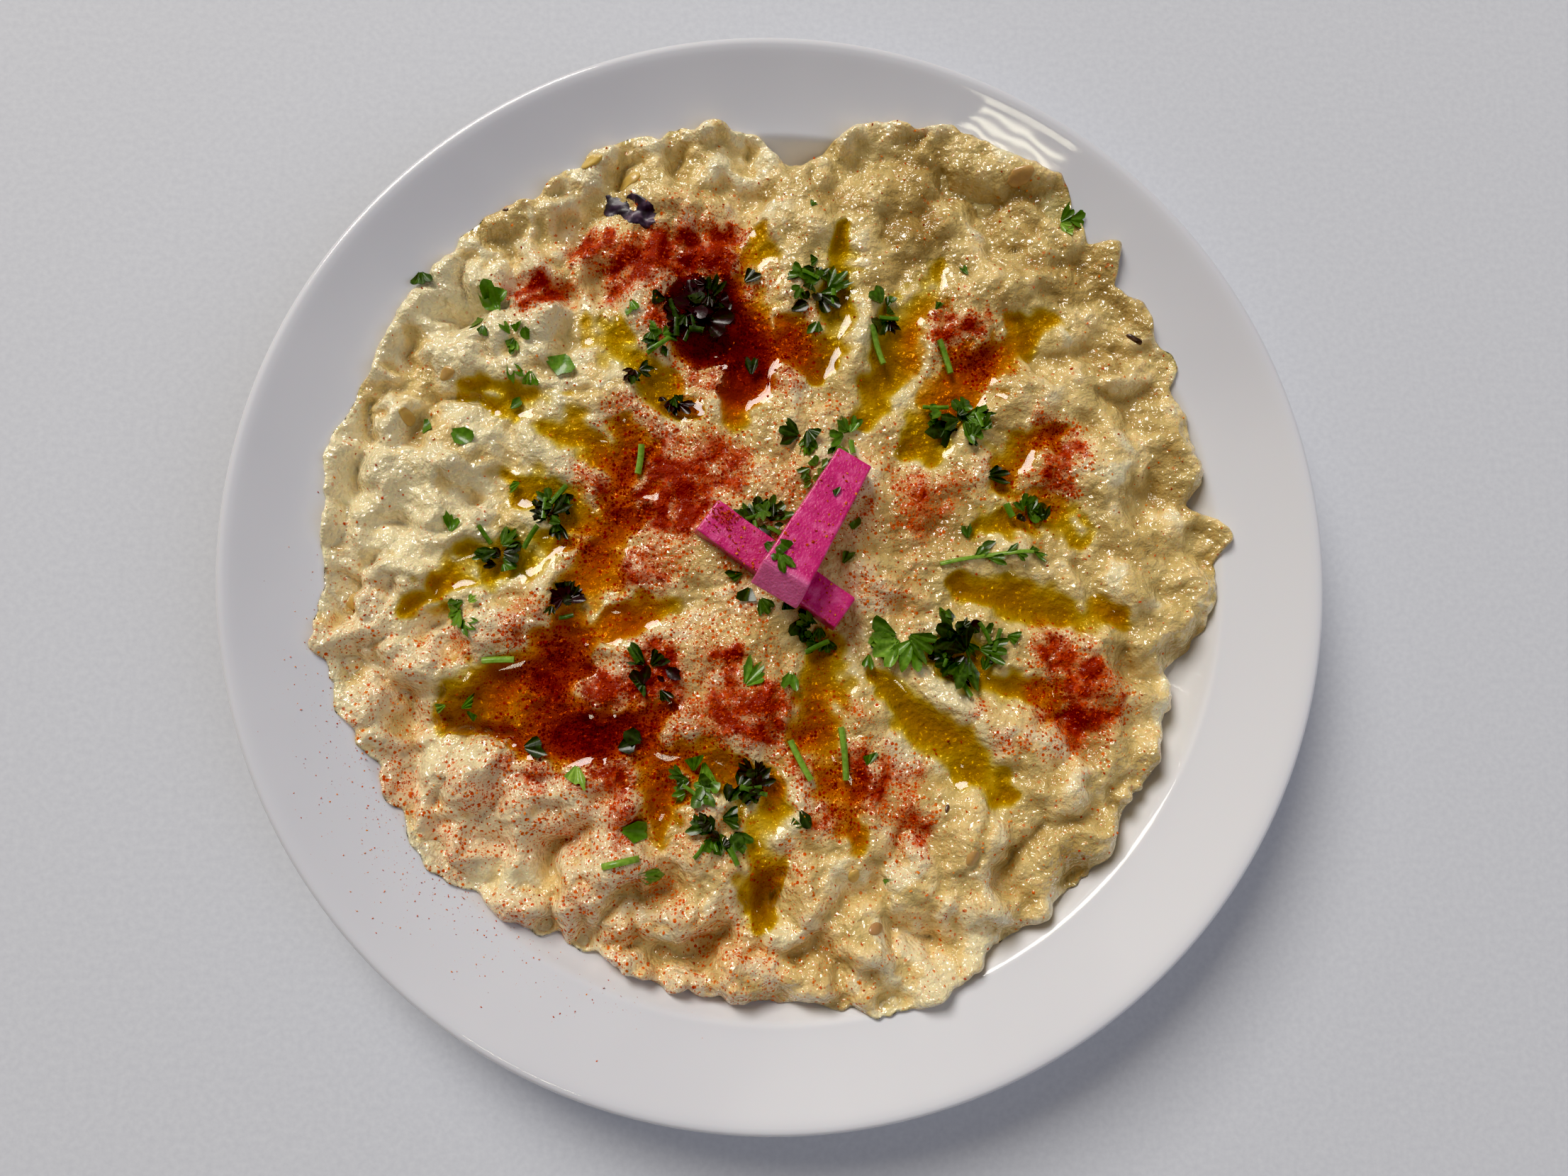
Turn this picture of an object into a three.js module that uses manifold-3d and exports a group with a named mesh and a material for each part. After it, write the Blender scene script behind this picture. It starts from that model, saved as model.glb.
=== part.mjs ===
// Baba ganoush on its plate: a white dinner plate, the aubergine mash pressed into
// radial furrows with a spoon, the olive oil that stands in them, two batons of pickled
// turnip, charred skin and chopped parsley.
// Millimetres, +Z up, origin on the table under the middle of the plate.

import * as THREE from 'three';
import { mergeVertices } from 'three/addons/utils/BufferGeometryUtils.js';
import Module from 'manifold-3d';

const wasm = await Module();
wasm.setup();

const GAP = 0.3; // left between pieces that touch

// Plate
const PLATE_RADIUS = 125;
const PLATE_HEIGHT = 22;
const LIP_ROUND = 1.0;
const WELL_RADIUS = 104; // where the well ends and the sloping rim starts
const WELL_EDGE_HEIGHT = 14;
const FLOOR_RADIUS = 94;
const FLOOR_HEIGHT = 6;
const UNDERSIDE_HEIGHT = 1.8;
const RIM_THICKNESS = 4.2;
const FOOT_RADIUS = 76; // middle of the foot ring
const FOOT_WIDTH = 4;
const PLATE_SEGMENTS = 52;

// Mash: outline radius every 15 degrees from +X, then its sharper bays and knobs
const OUTLINE_RADII = [
  104.7, 103.3, 106.1, 109.0, 114.3, 110.5, 103.4, 106.6, 108.0, 106.4, 106.1, 105.8,
  104.9, 105.4, 104.0, 104.6, 100.7, 100.1, 100.8, 105.2, 102.1, 101.6, 98.4, 96.4,
];
const OUTLINE_LOBES = [ // angle and width in degrees, height in mm
  { angle: 87, width: 5, height: -4.5 },
  { angle: 100, width: 3, height: 3 },
  { angle: 54, width: 2.5, height: 3 },
  { angle: 45, width: 2.5, height: -2.5 },
  { angle: 8, width: 2.5, height: -5 },
  { angle: 191, width: 3, height: 2.2 },
  { angle: 302, width: 3, height: -3 },
  { angle: 246, width: 3, height: -1.8 },
  { angle: 350, width: 3.5, height: 3.5 },
];
const OUTLINE_LUMPS = { size: 8, height: 1.3, seed: 11 };
const MASH_HEIGHT = 16.8; // middle of the ridges
const MASH_SWELL = 0.5; // centre mound and outer ring of ridges stand this much higher
const SWELL_RADIUS = 75;
const OUTER_FALL = 1.1; // how much lower the mash ends near its outline
const FALL_RADII = [82, 103];
const RIM_COVER = 2.2; // least thickness where it lies on the sloping rim
const RIM_BLEND = 1.2; // how softly the spread runs up on to the rim
const SHOULDER = 7; // width of the rounded shoulder along the outline
const EDGE_THICKNESS = 1.2;
const MASH_RINGS = 21;
const EDGE_RINGS = [3.6, 1.2, 0.01]; // how far inside the outline the mesh's last rings lie
const MASH_FOOT = 1; // the raw body reaches down to here before the plate is cut away
const BROAD_LUMPS = { size: 15, height: 1.05, seed: 1 };
const SMALL_LUMPS = { size: 7, height: 0.6, seed: 2 };
const RELIEF_IN_FURROW = 0.5; // share of the lumps that is left in a furrow
const RELIEF_ON_RIM = 0.4; // and on the sloping rim
const WALL_WOBBLE_X = { size: 9, height: 1.5, seed: 21 }; // wander of the furrows' walls
const WALL_WOBBLE_Y = { size: 9, height: 1.5, seed: 22 };

// Furrows pressed by the spoon: polar start and end, half width, sideways bow to the left
const FURROW_DEPTH = 4.3;
const FURROWS = [
  { from: [109.5, 34], to: [95.1, 78], half: 6.6, bow: -2 },
  { from: [112.0, 53], to: [109.5, 68], half: 6.8, bow: 0 },
  { from: [121.2, 40], to: [129.5, 74], half: 4.2, bow: 1.7 },
  { from: [154.7, 42], to: [152.2, 84], half: 4.7, bow: -4.4 },
  { from: [141.0, 47], to: [175.0, 40], half: 7.2, bow: 0 },
  { from: [171.9, 42], to: [163.2, 66], half: 4, bow: 0 },
  { from: [175.4, 50], to: [187.8, 88], half: 4.8, bow: -0.9 },
  { from: [173.0, 42], to: [204.0, 56], half: 6.8, bow: 0 },
  { from: [201.4, 50], to: [205.7, 84], half: 8, bow: 0 },
  { from: [202.6, 29], to: [200.6, 51], half: 3.8, bow: 0 },
  { from: [206.0, 70], to: [227.0, 62], half: 7.5, bow: 0 },
  { from: [232.0, 43], to: [226.0, 62], half: 5, bow: 0 },
  { from: [234.5, 51], to: [246.5, 69], half: 5.6, bow: 0 },
  { from: [239.0, 53], to: [262.0, 51], half: 5.4, bow: 0 },
  { from: [265.4, 49], to: [265.8, 83], half: 4.8, bow: 0 },
  { from: [295.0, 24], to: [285.3, 65], half: 6.2, bow: -5.2 },
  { from: [306.9, 34], to: [312.8, 75], half: 4.5, bow: 0 },
  { from: [331.5, 42], to: [329.0, 53], half: 6.6, bow: 0 },
  { from: [328.9, 54], to: [332.7, 72], half: 4.4, bow: 0 },
  { from: [350.1, 40], to: [349.8, 80], half: 4.3, bow: 0 },
  { from: [8.7, 46], to: [4.8, 72], half: 5.2, bow: 3 },
  { from: [19.1, 54], to: [28.5, 63], half: 5, bow: 0 },
  { from: [27.0, 62], to: [24.5, 73], half: 3, bow: 0 },
  { from: [42.0, 39], to: [42.1, 87], half: 7.4, bow: 2.5 },
  { from: [58.0, 37], to: [61.2, 80], half: 5.9, bow: 2.5 },
  { from: [79.5, 44], to: [80.1, 82], half: 4.2, bow: -1.2 },
  { from: [80.0, 46], to: [90.0, 57], half: 4.4, bow: 0 },
];
const FURROW_TAPER = 0.4; // share of the half width lost at both ends
const FURROW_FLOOR = 0.5; // shares of the half width where a wall starts and ends
const FURROW_BRINK = 1.45;
const FURROW_STEPS = 6;
const OIL_LEVEL = 14.7;
const OIL_REACH = 92; // no pool beyond this radius
const SMALLEST_POOL = 60; // mm3
const MESH_TOLERANCE = 0.05; // how far a cut body's mesh may be thinned

// Turnip batons: middle of the underside, heading and tilt in degrees
const BATONS = [
  { name: 'turnip_lower', middle: [-2.4, -2.5, 15.5], heading: -35.4, tilt: 0, length: 39,
    widths: [9, 8.6], thickness: 6.2, slant: 0.8 },
  { name: 'turnip_upper', middle: [6.5, 6.5, 20.6], heading: 59.7, tilt: -10.5, length: 35,
    widths: [12, 9.2], thickness: 6.2, slant: 4.5 },
];

// A flake of charred skin: middle, heading, length and width
const CHARRED_SKIN = { x: -37, y: 83.5, heading: -25, length: 14, width: 5.5 };
const SKIN_THICKNESS = 0.9;
const SKIN_LUMPS = { size: 2, height: 0.2, seed: 31 };

// Parsley: bunches and single leaves, blades fanned over `fan` degrees about `heading`
const PARSLEY = [
  { x: 42, y: -22, blades: 6, length: 8.5, heading: 0, fan: 300 },
  { x: 42, y: 33, blades: 5, length: 7.5, heading: 30, fan: 288 },
  { x: 7, y: 66, blades: 5, length: 6.5, heading: 60, fan: 288 },
  { x: -20, y: 59, blades: 6, length: 7.5, heading: 20, fan: 300 },
  { x: -54, y: 9, blades: 5, length: 6, heading: 80, fan: 288 },
  { x: -65, y: 1, blades: 4, length: 5, heading: 190, fan: 270 },
  { x: -15, y: -62, blades: 5, length: 6, heading: 110, fan: 288 },
  { x: -21, y: -51, blades: 4, length: 5.5, heading: 200, fan: 270 },
  { x: -7, y: -52, blades: 4, length: 5, heading: 320, fan: 270 },
  { x: 57, y: 10, blades: 4, length: 6, heading: 60, fan: 150 },
  { x: 28, y: -17, blades: 4, length: 8, heading: 245, fan: 110 },
  { x: -6, y: 8, blades: 4, length: 5.5, heading: 120, fan: 170 },
  { x: 8, y: -17.5, blades: 3, length: 5, heading: 250, fan: 100 },
  { x: 24, y: 58.5, blades: 4, length: 4.6, heading: 10, fan: 270 },
  { x: 14, y: 28.5, blades: 3, length: 4.6, heading: 80, fan: 110 },
  { x: 5, y: 30, blades: 2, length: 5.5, heading: 225, fan: 60 },
  { x: -70, y: 55, blades: 2, length: 7, heading: 85, fan: 70 },
  { x: -72, y: -13, blades: 3, length: 4.6, heading: 200, fan: 150 },
  { x: 69, y: 87, blades: 2, length: 5, heading: 320, fan: 90 },
  { x: -62, y: 51, blades: 2, length: 5, heading: 180, fan: 120 },
  { x: -30, y: -28, blades: 3, length: 6, heading: 180, fan: 180 },
  { x: 8, y: 19, blades: 3, length: 4.2, heading: 100, fan: 120 },
  { x: -29, y: 52, blades: 3, length: 4.8, heading: 130, fan: 180 },
  { x: -50, y: -11, blades: 3, length: 5, heading: 90, fan: 180 },
  { x: -36, y: 44, blades: 2, length: 4.6, heading: 290, fan: 60 },
  { x: -26, y: 38, blades: 2, length: 4.6, heading: 280, fan: 70 },
];
const STALKS = [
  { x: 36, y: -1.5, heading: 8, length: 22 },
  { x: 1, y: -42, heading: 297, length: 10 },
  { x: 12.5, y: -39, heading: 276, length: 12 },
  { x: -33.5, y: 26, heading: 265, length: 7 },
  { x: -68, y: -24.3, heading: 3, length: 7 },
  { x: 20.5, y: 55, heading: 287, length: 9 },
  { x: 36.5, y: 52, heading: 293, length: 8 },
  { x: -40, y: -69, heading: 12, length: 8 },
];
const BLADE_WIDTH = 0.5; // of its length
const BLADE_THICKNESS = 0.5;
const BLADE_STEPS = 3;
const STALK_WIDTH = 1.3;
const STALK_THICKNESS = 1.0;
const LAID_CLEARANCE = 0.4;

// Small flakes of parsley sunk in the mash, all on dry ground
const SUNK_FLAKES = [
  { x: -64, y: 44.5, heading: 300, length: 4 },
  { x: -59, y: 43, heading: 270, length: 4.5 },
  { x: -56, y: 45.5, heading: 345, length: 6 },
  { x: -84, y: 28, heading: 50, length: 4.5 },
  { x: -77, y: 28.5, heading: 330, length: 5.5 },
  { x: -76, y: 4.5, heading: 80, length: 4 },
  { x: -37, y: 61, heading: 290, length: 4.5 },
  { x: 1.5, y: -26, heading: 260, length: 4 },
  { x: 22, y: -73, heading: 330, length: 3 },
  { x: -33, y: -71, heading: 345, length: 4.5 },
  { x: -37, y: -61.5, heading: 352, length: 6 },
  { x: 36, y: -11, heading: 290, length: 4 },
  { x: -9.5, y: -30, heading: 52, length: 6 },
  { x: 51, y: -18, heading: 340, length: 3.5 },
  { x: -85.5, y: 67, heading: 285, length: 5 },
];
const FLAKE_THICKNESS = 1.1;
const FLAKE_LIFT = 0.35; // how far a flake stands out of the mash
const SEEDS = [
  { x: 15.5, y: -72, heading: 80 },
  { x: 41.5, y: -67.5, heading: 60 },
  { x: 20.5, y: -83.5, heading: 10 },
];
const SEED_LENGTH = 3.8;
const SEED_WIDTH = 2.4;

const clamp = THREE.MathUtils.clamp;
const lerp = THREE.MathUtils.lerp;
const radians = THREE.MathUtils.degToRad;

function smooth(low, high, value) {
  const t = clamp((value - low) / (high - low), 0, 1);
  return t * t * (3 - 2 * t);
}

// A fixed random number in 0..1 for a lattice point.
function latticeValue(i, j, seed) {
  const s = Math.sin(i * 127.1 + j * 311.7 + seed * 74.7) * 43758.5453;
  return s - Math.floor(s);
}

// Smooth value noise: lumps about `size` across, up to `height` above and below zero.
function lumps(x, y, { size, height, seed }) {
  const i = Math.floor(x / size);
  const j = Math.floor(y / size);
  const u = smooth(0, 1, x / size - i);
  const v = smooth(0, 1, y / size - j);
  const near = lerp(latticeValue(i, j, seed), latticeValue(i + 1, j, seed), u);
  const far = lerp(latticeValue(i, j + 1, seed), latticeValue(i + 1, j + 1, seed), u);
  return height * (2 * lerp(near, far, v) - 1);
}

// A repeatable random source for things that are scattered.
function randomSource(seed) {
  let count = 0;
  return () => latticeValue(++count, seed, 5);
}

// three.js geometry to a manifold solid, and back.
function solidOf(geometry) {
  const bare = geometry.clone();
  bare.deleteAttribute('normal');
  bare.deleteAttribute('uv');
  const merged = mergeVertices(bare, 1e-3);
  const index = merged.index.array;
  const kept = [];
  for (let k = 0; k < index.length; k += 3) {
    const [a, b, c] = [index[k], index[k + 1], index[k + 2]];
    if (a !== b && b !== c && c !== a) kept.push(a, b, c);
  }
  const mesh = new wasm.Mesh({
    numProp: 3,
    vertProperties: new Float32Array(merged.attributes.position.array),
    triVerts: new Uint32Array(kept),
  });
  return new wasm.Manifold(mesh);
}

function geometryOf(solid) {
  const mesh = solid.getMesh();
  const geometry = new THREE.BufferGeometry();
  const position = new THREE.BufferAttribute(new Float32Array(mesh.vertProperties), 3);
  geometry.setAttribute('position', position);
  geometry.setIndex(new THREE.BufferAttribute(new Uint32Array(mesh.triVerts), 1));
  geometry.computeVertexNormals();
  return geometry;
}

function raised(solid, height) {
  return solidOf(geometryOf(solid).translate(0, 0, height));
}

function boxOf(solid) {
  const { min, max } = solid.boundingBox();
  return new THREE.Box3(new THREE.Vector3(...min), new THREE.Vector3(...max));
}

function largestBody(solid) {
  return solid.decompose().sort((a, b) => b.volume() - a.volume())[0];
}

// ---- Plate ----

// Upper side of the plate from the middle to the lip, as [radius, height].
function plateTopProfile() {
  const profile = [[0, FLOOR_HEIGHT], [FLOOR_RADIUS, FLOOR_HEIGHT]];
  for (const t of [0.3, 0.55, 0.8, 1]) {
    const radius = lerp(FLOOR_RADIUS, WELL_RADIUS, t);
    profile.push([radius, lerp(FLOOR_HEIGHT, WELL_EDGE_HEIGHT, t ** 2)]);
  }
  for (const t of [0.33, 0.66, 1]) {
    const radius = lerp(WELL_RADIUS, PLATE_RADIUS - 2 * LIP_ROUND, t);
    profile.push([radius, lerp(WELL_EDGE_HEIGHT, PLATE_HEIGHT, t ** 1.15)]);
  }
  return profile;
}

const PLATE_TOP = plateTopProfile();

function plateTop(radius) {
  const k = PLATE_TOP.findIndex(([r]) => r >= radius);
  if (k < 1) return k === 0 ? FLOOR_HEIGHT : PLATE_HEIGHT;
  const [[r0, z0], [r1, z1]] = [PLATE_TOP[k - 1], PLATE_TOP[k]];
  return lerp(z0, z1, (radius - r0) / (r1 - r0));
}

function latheOf(profile) {
  const points = profile.map(([r, z]) => new THREE.Vector2(r, z));
  return new THREE.LatheGeometry(points, PLATE_SEGMENTS).rotateX(Math.PI / 2);
}

function plateGeometry() {
  const foot = FOOT_WIDTH / 2;
  const underside = [
    [0, UNDERSIDE_HEIGHT],
    [FOOT_RADIUS - foot - 0.8, UNDERSIDE_HEIGHT],
    [FOOT_RADIUS - foot, 0],
    [FOOT_RADIUS + foot, 0],
    [FOOT_RADIUS + foot + 0.8, UNDERSIDE_HEIGHT + 0.3],
    [FLOOR_RADIUS - 6, UNDERSIDE_HEIGHT + 0.7],
    [WELL_RADIUS - 1, WELL_EDGE_HEIGHT - 1.2 * RIM_THICKNESS],
    [PLATE_RADIUS - 3, PLATE_HEIGHT - 0.75 * RIM_THICKNESS],
    [PLATE_RADIUS - 0.4 * LIP_ROUND, PLATE_HEIGHT - 1.8 * LIP_ROUND],
    [PLATE_RADIUS, PLATE_HEIGHT - LIP_ROUND],
    [PLATE_RADIUS - 0.6 * LIP_ROUND, PLATE_HEIGHT - 0.2 * LIP_ROUND],
  ];
  return latheOf([...underside, ...PLATE_TOP.toReversed()]);
}

// What must stay free of mash: everything below the plate's upper side and the gap on it.
function plateCutter() {
  const onWall = 1.6 * GAP; // the height that keeps the gap on the well's sloping wall
  const surface = PLATE_TOP.map(([r, z]) => [r, z + (r < FLOOR_RADIUS ? GAP : onWall)]);
  return latheOf([[0, -5], [PLATE_RADIUS, -5], ...surface.toReversed()]);
}

// ---- Mash ----

function outlineRadius(degrees) {
  const step = 360 / OUTLINE_RADII.length;
  const turn = ((degrees % 360) + 360) % 360;
  const k = Math.floor(turn / step);
  const here = OUTLINE_RADII[k];
  const next = OUTLINE_RADII[(k + 1) % OUTLINE_RADII.length];
  let radius = lerp(here, next, smooth(0, 1, turn / step - k));
  for (const lobe of OUTLINE_LOBES) {
    const off = Math.abs(((turn - lobe.angle + 540) % 360) - 180) / lobe.width;
    radius += lobe.height * Math.exp(-off * off);
  }
  const [x, y] = [WELL_RADIUS * Math.cos(radians(turn)), WELL_RADIUS * Math.sin(radians(turn))];
  return radius + lumps(x, y, OUTLINE_LUMPS);
}

// Points along a furrow's bowed middle line.
function furrowLine({ from, to, bow }) {
  const [start, end] = [from, to].map(([degrees, radius]) =>
    new THREE.Vector2(radius, 0).rotateAround(new THREE.Vector2(), radians(degrees)));
  const along = end.clone().sub(start);
  const left = new THREE.Vector2(-along.y, along.x).normalize();
  const line = [];
  for (let k = 0; k <= FURROW_STEPS; k++) {
    const t = k / FURROW_STEPS;
    const sideways = left.clone().multiplyScalar(4 * bow * t * (1 - t));
    line.push(start.clone().lerp(end, t).add(sideways));
  }
  return line;
}

const FURROW_LINES = FURROWS.map((furrow) => ({ half: furrow.half, line: furrowLine(furrow) }));

// Distance from a furrow's middle line, as a share of its half width there.
function offLine(x, y, { half, line }) {
  let nearest = Infinity;
  for (let k = 0; k < FURROW_STEPS; k++) {
    const [a, b] = [line[k], line[k + 1]];
    const [dx, dy] = [b.x - a.x, b.y - a.y];
    const t = clamp(((x - a.x) * dx + (y - a.y) * dy) / (dx * dx + dy * dy), 0, 1);
    const fromMiddle = (2 * (k + t)) / FURROW_STEPS - 1;
    const width = half * (1 - FURROW_TAPER * fromMiddle * fromMiddle);
    nearest = Math.min(nearest, Math.hypot(x - a.x - t * dx, y - a.y - t * dy) / width);
  }
  return nearest;
}

// 1 in the bottom of a furrow, 0 on the ridges.
function furrowShare(x, y) {
  const wobbledX = x + lumps(x, y, WALL_WOBBLE_X);
  const wobbledY = y + lumps(x, y, WALL_WOBBLE_Y);
  const nearest = Math.min(...FURROW_LINES.map((line) => offLine(wobbledX, wobbledY, line)));
  return 1 - smooth(FURROW_FLOOR, FURROW_BRINK, nearest);
}

function mashHeight(x, y) {
  const radius = Math.hypot(x, y);
  const inward = outlineRadius(THREE.MathUtils.radToDeg(Math.atan2(y, x))) - radius;
  const ground = plateTop(radius) + GAP + EDGE_THICKNESS;
  const furrow = furrowShare(x, y);
  const swell = MASH_SWELL * Math.cos((2 * Math.PI * radius) / SWELL_RADIUS);
  const fall = OUTER_FALL * smooth(...FALL_RADII, radius);
  const relief = lumps(x, y, BROAD_LUMPS) + lumps(x, y, SMALL_LUMPS);
  const ridge = MASH_HEIGHT + swell - fall + relief;
  const pressed = FURROW_DEPTH + relief * RELIEF_IN_FURROW;
  const onRim = plateTop(radius) + RIM_COVER + relief * RELIEF_ON_RIM;
  const inWell = ridge - pressed * furrow;
  const height = (inWell + onRim + Math.hypot(inWell - onRim, RIM_BLEND)) / 2;
  const t = clamp(inward / SHOULDER, 0, 1);
  return lerp(ground, height, Math.sqrt(1 - (1 - t) ** 2));
}

// Rings of points from the middle out: ring k holds 6k of them, and the last rings
// repeat the outermost count for the shoulder, the edge and the wall below it.
function mashGeometry() {
  const position = [0, 0, mashHeight(0, 0)];
  const index = [];
  const ringStart = [0];
  const around = 6 * MASH_RINGS;

  function addRing(count, radiusAt, heightAt) {
    ringStart.push(position.length / 3);
    for (let k = 0; k < count; k++) {
      const angle = (2 * Math.PI * k) / count;
      const radius = radiusAt(outlineRadius((360 * k) / count));
      const [x, y] = [radius * Math.cos(angle), radius * Math.sin(angle)];
      position.push(x, y, heightAt(x, y));
    }
  }

  for (let ring = 1; ring <= MASH_RINGS; ring++) {
    addRing(6 * ring, (edge) => ((edge - EDGE_RINGS[0]) * ring) / MASH_RINGS, mashHeight);
  }
  addRing(around, (edge) => edge - EDGE_RINGS[1], mashHeight);
  addRing(around, (edge) => edge - EDGE_RINGS[2], mashHeight);
  addRing(around, (edge) => edge - EDGE_RINGS[2], () => MASH_FOOT);

  for (let ring = 1; ring <= MASH_RINGS; ring++) {
    const [inner, outer] = [ringStart[ring - 1], ringStart[ring]];
    const innerCount = Math.max(1, 6 * (ring - 1));
    for (let sector = 0; sector < 6; sector++) {
      for (let k = 0; k < ring; k++) {
        const out = outer + sector * ring + k;
        const outNext = outer + ((sector * ring + k + 1) % (6 * ring));
        const inside = inner + ((sector * (ring - 1) + k) % innerCount);
        index.push(inside, out, outNext);
        if (k === ring - 1) continue;
        const insideNext = inner + ((sector * (ring - 1) + k + 1) % innerCount);
        index.push(inside, outNext, insideNext);
      }
    }
  }
  for (let ring = MASH_RINGS; ring < MASH_RINGS + 3; ring++) {
    const [inner, outer] = [ringStart[ring], ringStart[ring + 1]];
    for (let k = 0; k < around; k++) {
      const next = (k + 1) % around;
      index.push(inner + k, outer + k, outer + next, inner + k, outer + next, inner + next);
    }
  }
  const bottom = position.length / 3;
  position.push(0, 0, MASH_FOOT);
  const wall = ringStart[MASH_RINGS + 3];
  for (let k = 0; k < around; k++) {
    index.push(bottom, wall + ((k + 1) % around), wall + k);
  }
  const geometry = new THREE.BufferGeometry();
  geometry.setAttribute('position', new THREE.Float32BufferAttribute(position, 3));
  geometry.setIndex(index);
  return geometry;
}

// ---- Things that lie on the mash ----

// Finds the height of what lies below a point, from the finished solids.
function surfaceProbe(solids) {
  const meshes = solids.map((solid) => new THREE.Mesh(geometryOf(solid)));
  const ray = new THREE.Raycaster();
  const down = new THREE.Vector3(0, 0, -1);
  return (x, y) => {
    ray.set(new THREE.Vector3(x, y, 2 * PLATE_HEIGHT), down);
    const [hit] = ray.intersectObjects(meshes);
    return hit ? hit.point.z : plateTop(Math.hypot(x, y));
  };
}

// A thin wavy strip whose two faces are split alike. It starts at (x, y) and runs along
// `heading`; `under` gives the height that its lower face has at a point.
function stripGeometry({ x, y, heading, length, widthAt, thickness, steps, under }) {
  const ahead = new THREE.Vector2(Math.cos(radians(heading)), Math.sin(radians(heading)));
  const position = [];
  const index = [];
  for (let k = 0; k <= steps; k++) {
    const t = k / steps;
    for (const side of [-1, 1]) {
      const half = (side * widthAt(t)) / 2;
      const px = x + ahead.x * t * length - ahead.y * half;
      const py = y + ahead.y * t * length + ahead.x * half;
      const z = under(px, py, t);
      position.push(px, py, z, px, py, z + thickness);
    }
  }
  // Each step has four corners: right below, right above, left below, left above.
  for (let k = 0; k < steps; k++) {
    const a = 4 * k;
    const b = a + 4;
    index.push(a, a + 2, b + 2, a, b + 2, b); // lower face
    index.push(a + 1, b + 3, a + 3, a + 1, b + 1, b + 3); // upper face
    index.push(a, b, b + 1, a, b + 1, a + 1); // right wall
    index.push(a + 2, a + 3, b + 3, a + 2, b + 3, b + 2); // left wall
  }
  const end = 4 * steps;
  index.push(0, 1, 3, 0, 3, 2, end, end + 2, end + 3, end, end + 3, end + 1);
  const geometry = new THREE.BufferGeometry();
  geometry.setAttribute('position', new THREE.Float32BufferAttribute(position, 3));
  geometry.setIndex(index);
  return geometry;
}

// Width of a leaf blade along its length: narrow at the stalk, widest before the middle.
function bladeWidth(length) {
  return (t) => length * BLADE_WIDTH * (0.24 + 0.76 * Math.sin(Math.PI * (0.12 + 0.8 * t)));
}

function bunchSolid({ x, y, blades, length, heading, fan }, seed, probe) {
  const random = randomSource(seed);
  const parts = [];
  for (let k = 0; k < blades; k++) {
    const turn = blades > 1 ? fan * (k / (blades - 1) - 0.5) : 0;
    const own = length * (0.8 + 0.35 * random());
    const lift = LAID_CLEARANCE + 0.2 * (k % 2);
    parts.push(solidOf(stripGeometry({
      x: x + 0.4 * (random() - 0.5),
      y: y + 0.4 * (random() - 0.5),
      heading: heading + turn + 12 * (random() - 0.5),
      length: own,
      widthAt: bladeWidth(own),
      thickness: BLADE_THICKNESS,
      steps: BLADE_STEPS,
      under: (px, py, t) => probe(px, py) + lift + 0.35 * t * random(),
    })));
  }
  return wasm.Manifold.union(parts);
}

function stalkSolid({ x, y, heading, length }, probe) {
  return solidOf(stripGeometry({
    x,
    y,
    heading,
    length,
    widthAt: () => STALK_WIDTH,
    thickness: STALK_THICKNESS,
    steps: Math.max(3, Math.round(length / 3)),
    under: (px, py) => probe(px, py) + LAID_CLEARANCE,
  }));
}

function sunkFlake({ x, y, heading, length }) {
  return solidOf(stripGeometry({
    x,
    y,
    heading,
    length,
    widthAt: bladeWidth(length),
    thickness: FLAKE_THICKNESS,
    steps: BLADE_STEPS,
    under: (px, py) => mashHeight(px, py) + FLAKE_LIFT - FLAKE_THICKNESS,
  }));
}

function seedSolid({ x, y, heading }) {
  const seed = new THREE.SphereGeometry(0.5, 7, 5);
  seed.scale(SEED_LENGTH, SEED_WIDTH, SEED_WIDTH);
  seed.rotateZ(radians(heading));
  seed.translate(x, y, mashHeight(x, y) + 0.2);
  return solidOf(seed);
}

// A lens of blackened skin, bent over the mash below it.
function charredSkin({ x, y, heading, length, width }, probe) {
  const lens = new THREE.SphereGeometry(0.5, 10, 6);
  lens.rotateX(Math.PI / 2);
  lens.scale(length, width, 1);
  lens.rotateZ(radians(heading));
  const position = lens.attributes.position;
  for (let k = 0; k < position.count; k++) {
    const px = position.getX(k) + x;
    const py = position.getY(k) + y;
    const lift = LAID_CLEARANCE + SKIN_THICKNESS * (position.getZ(k) + 0.5);
    position.setXYZ(k, px, py, probe(px, py) + lift + lumps(px, py, SKIN_LUMPS));
  }
  return solidOf(lens);
}

// A baton cut from a turnip: its side view extruded across, narrower towards one end.
// `extra` swells it all round, for cutting its bed into the mash.
function batonSolid({ middle, heading, tilt, length, widths, thickness, slant }, extra = 0) {
  const half = length / 2 + extra;
  const side = new THREE.Shape([
    new THREE.Vector2(-half - slant / 2, -extra),
    new THREE.Vector2(half, -extra),
    new THREE.Vector2(half - 0.4, thickness + extra),
    new THREE.Vector2(-half + slant / 2, thickness + extra),
  ]);
  const baton = new THREE.ExtrudeGeometry(side, { depth: 1, steps: 1, bevelEnabled: false });
  baton.translate(0, 0, -0.5);
  baton.rotateX(Math.PI / 2);
  const position = baton.attributes.position;
  for (let k = 0; k < position.count; k++) {
    const width = lerp(...widths, position.getX(k) / length + 0.5) + 2 * extra;
    const crown = 1 - 0.05 * clamp(position.getZ(k) / thickness, 0, 1);
    position.setY(k, position.getY(k) * width * crown);
  }
  baton.rotateY(-radians(tilt));
  baton.rotateZ(radians(heading));
  baton.translate(...middle);
  return solidOf(baton);
}

// ---- Assembly ----

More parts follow.
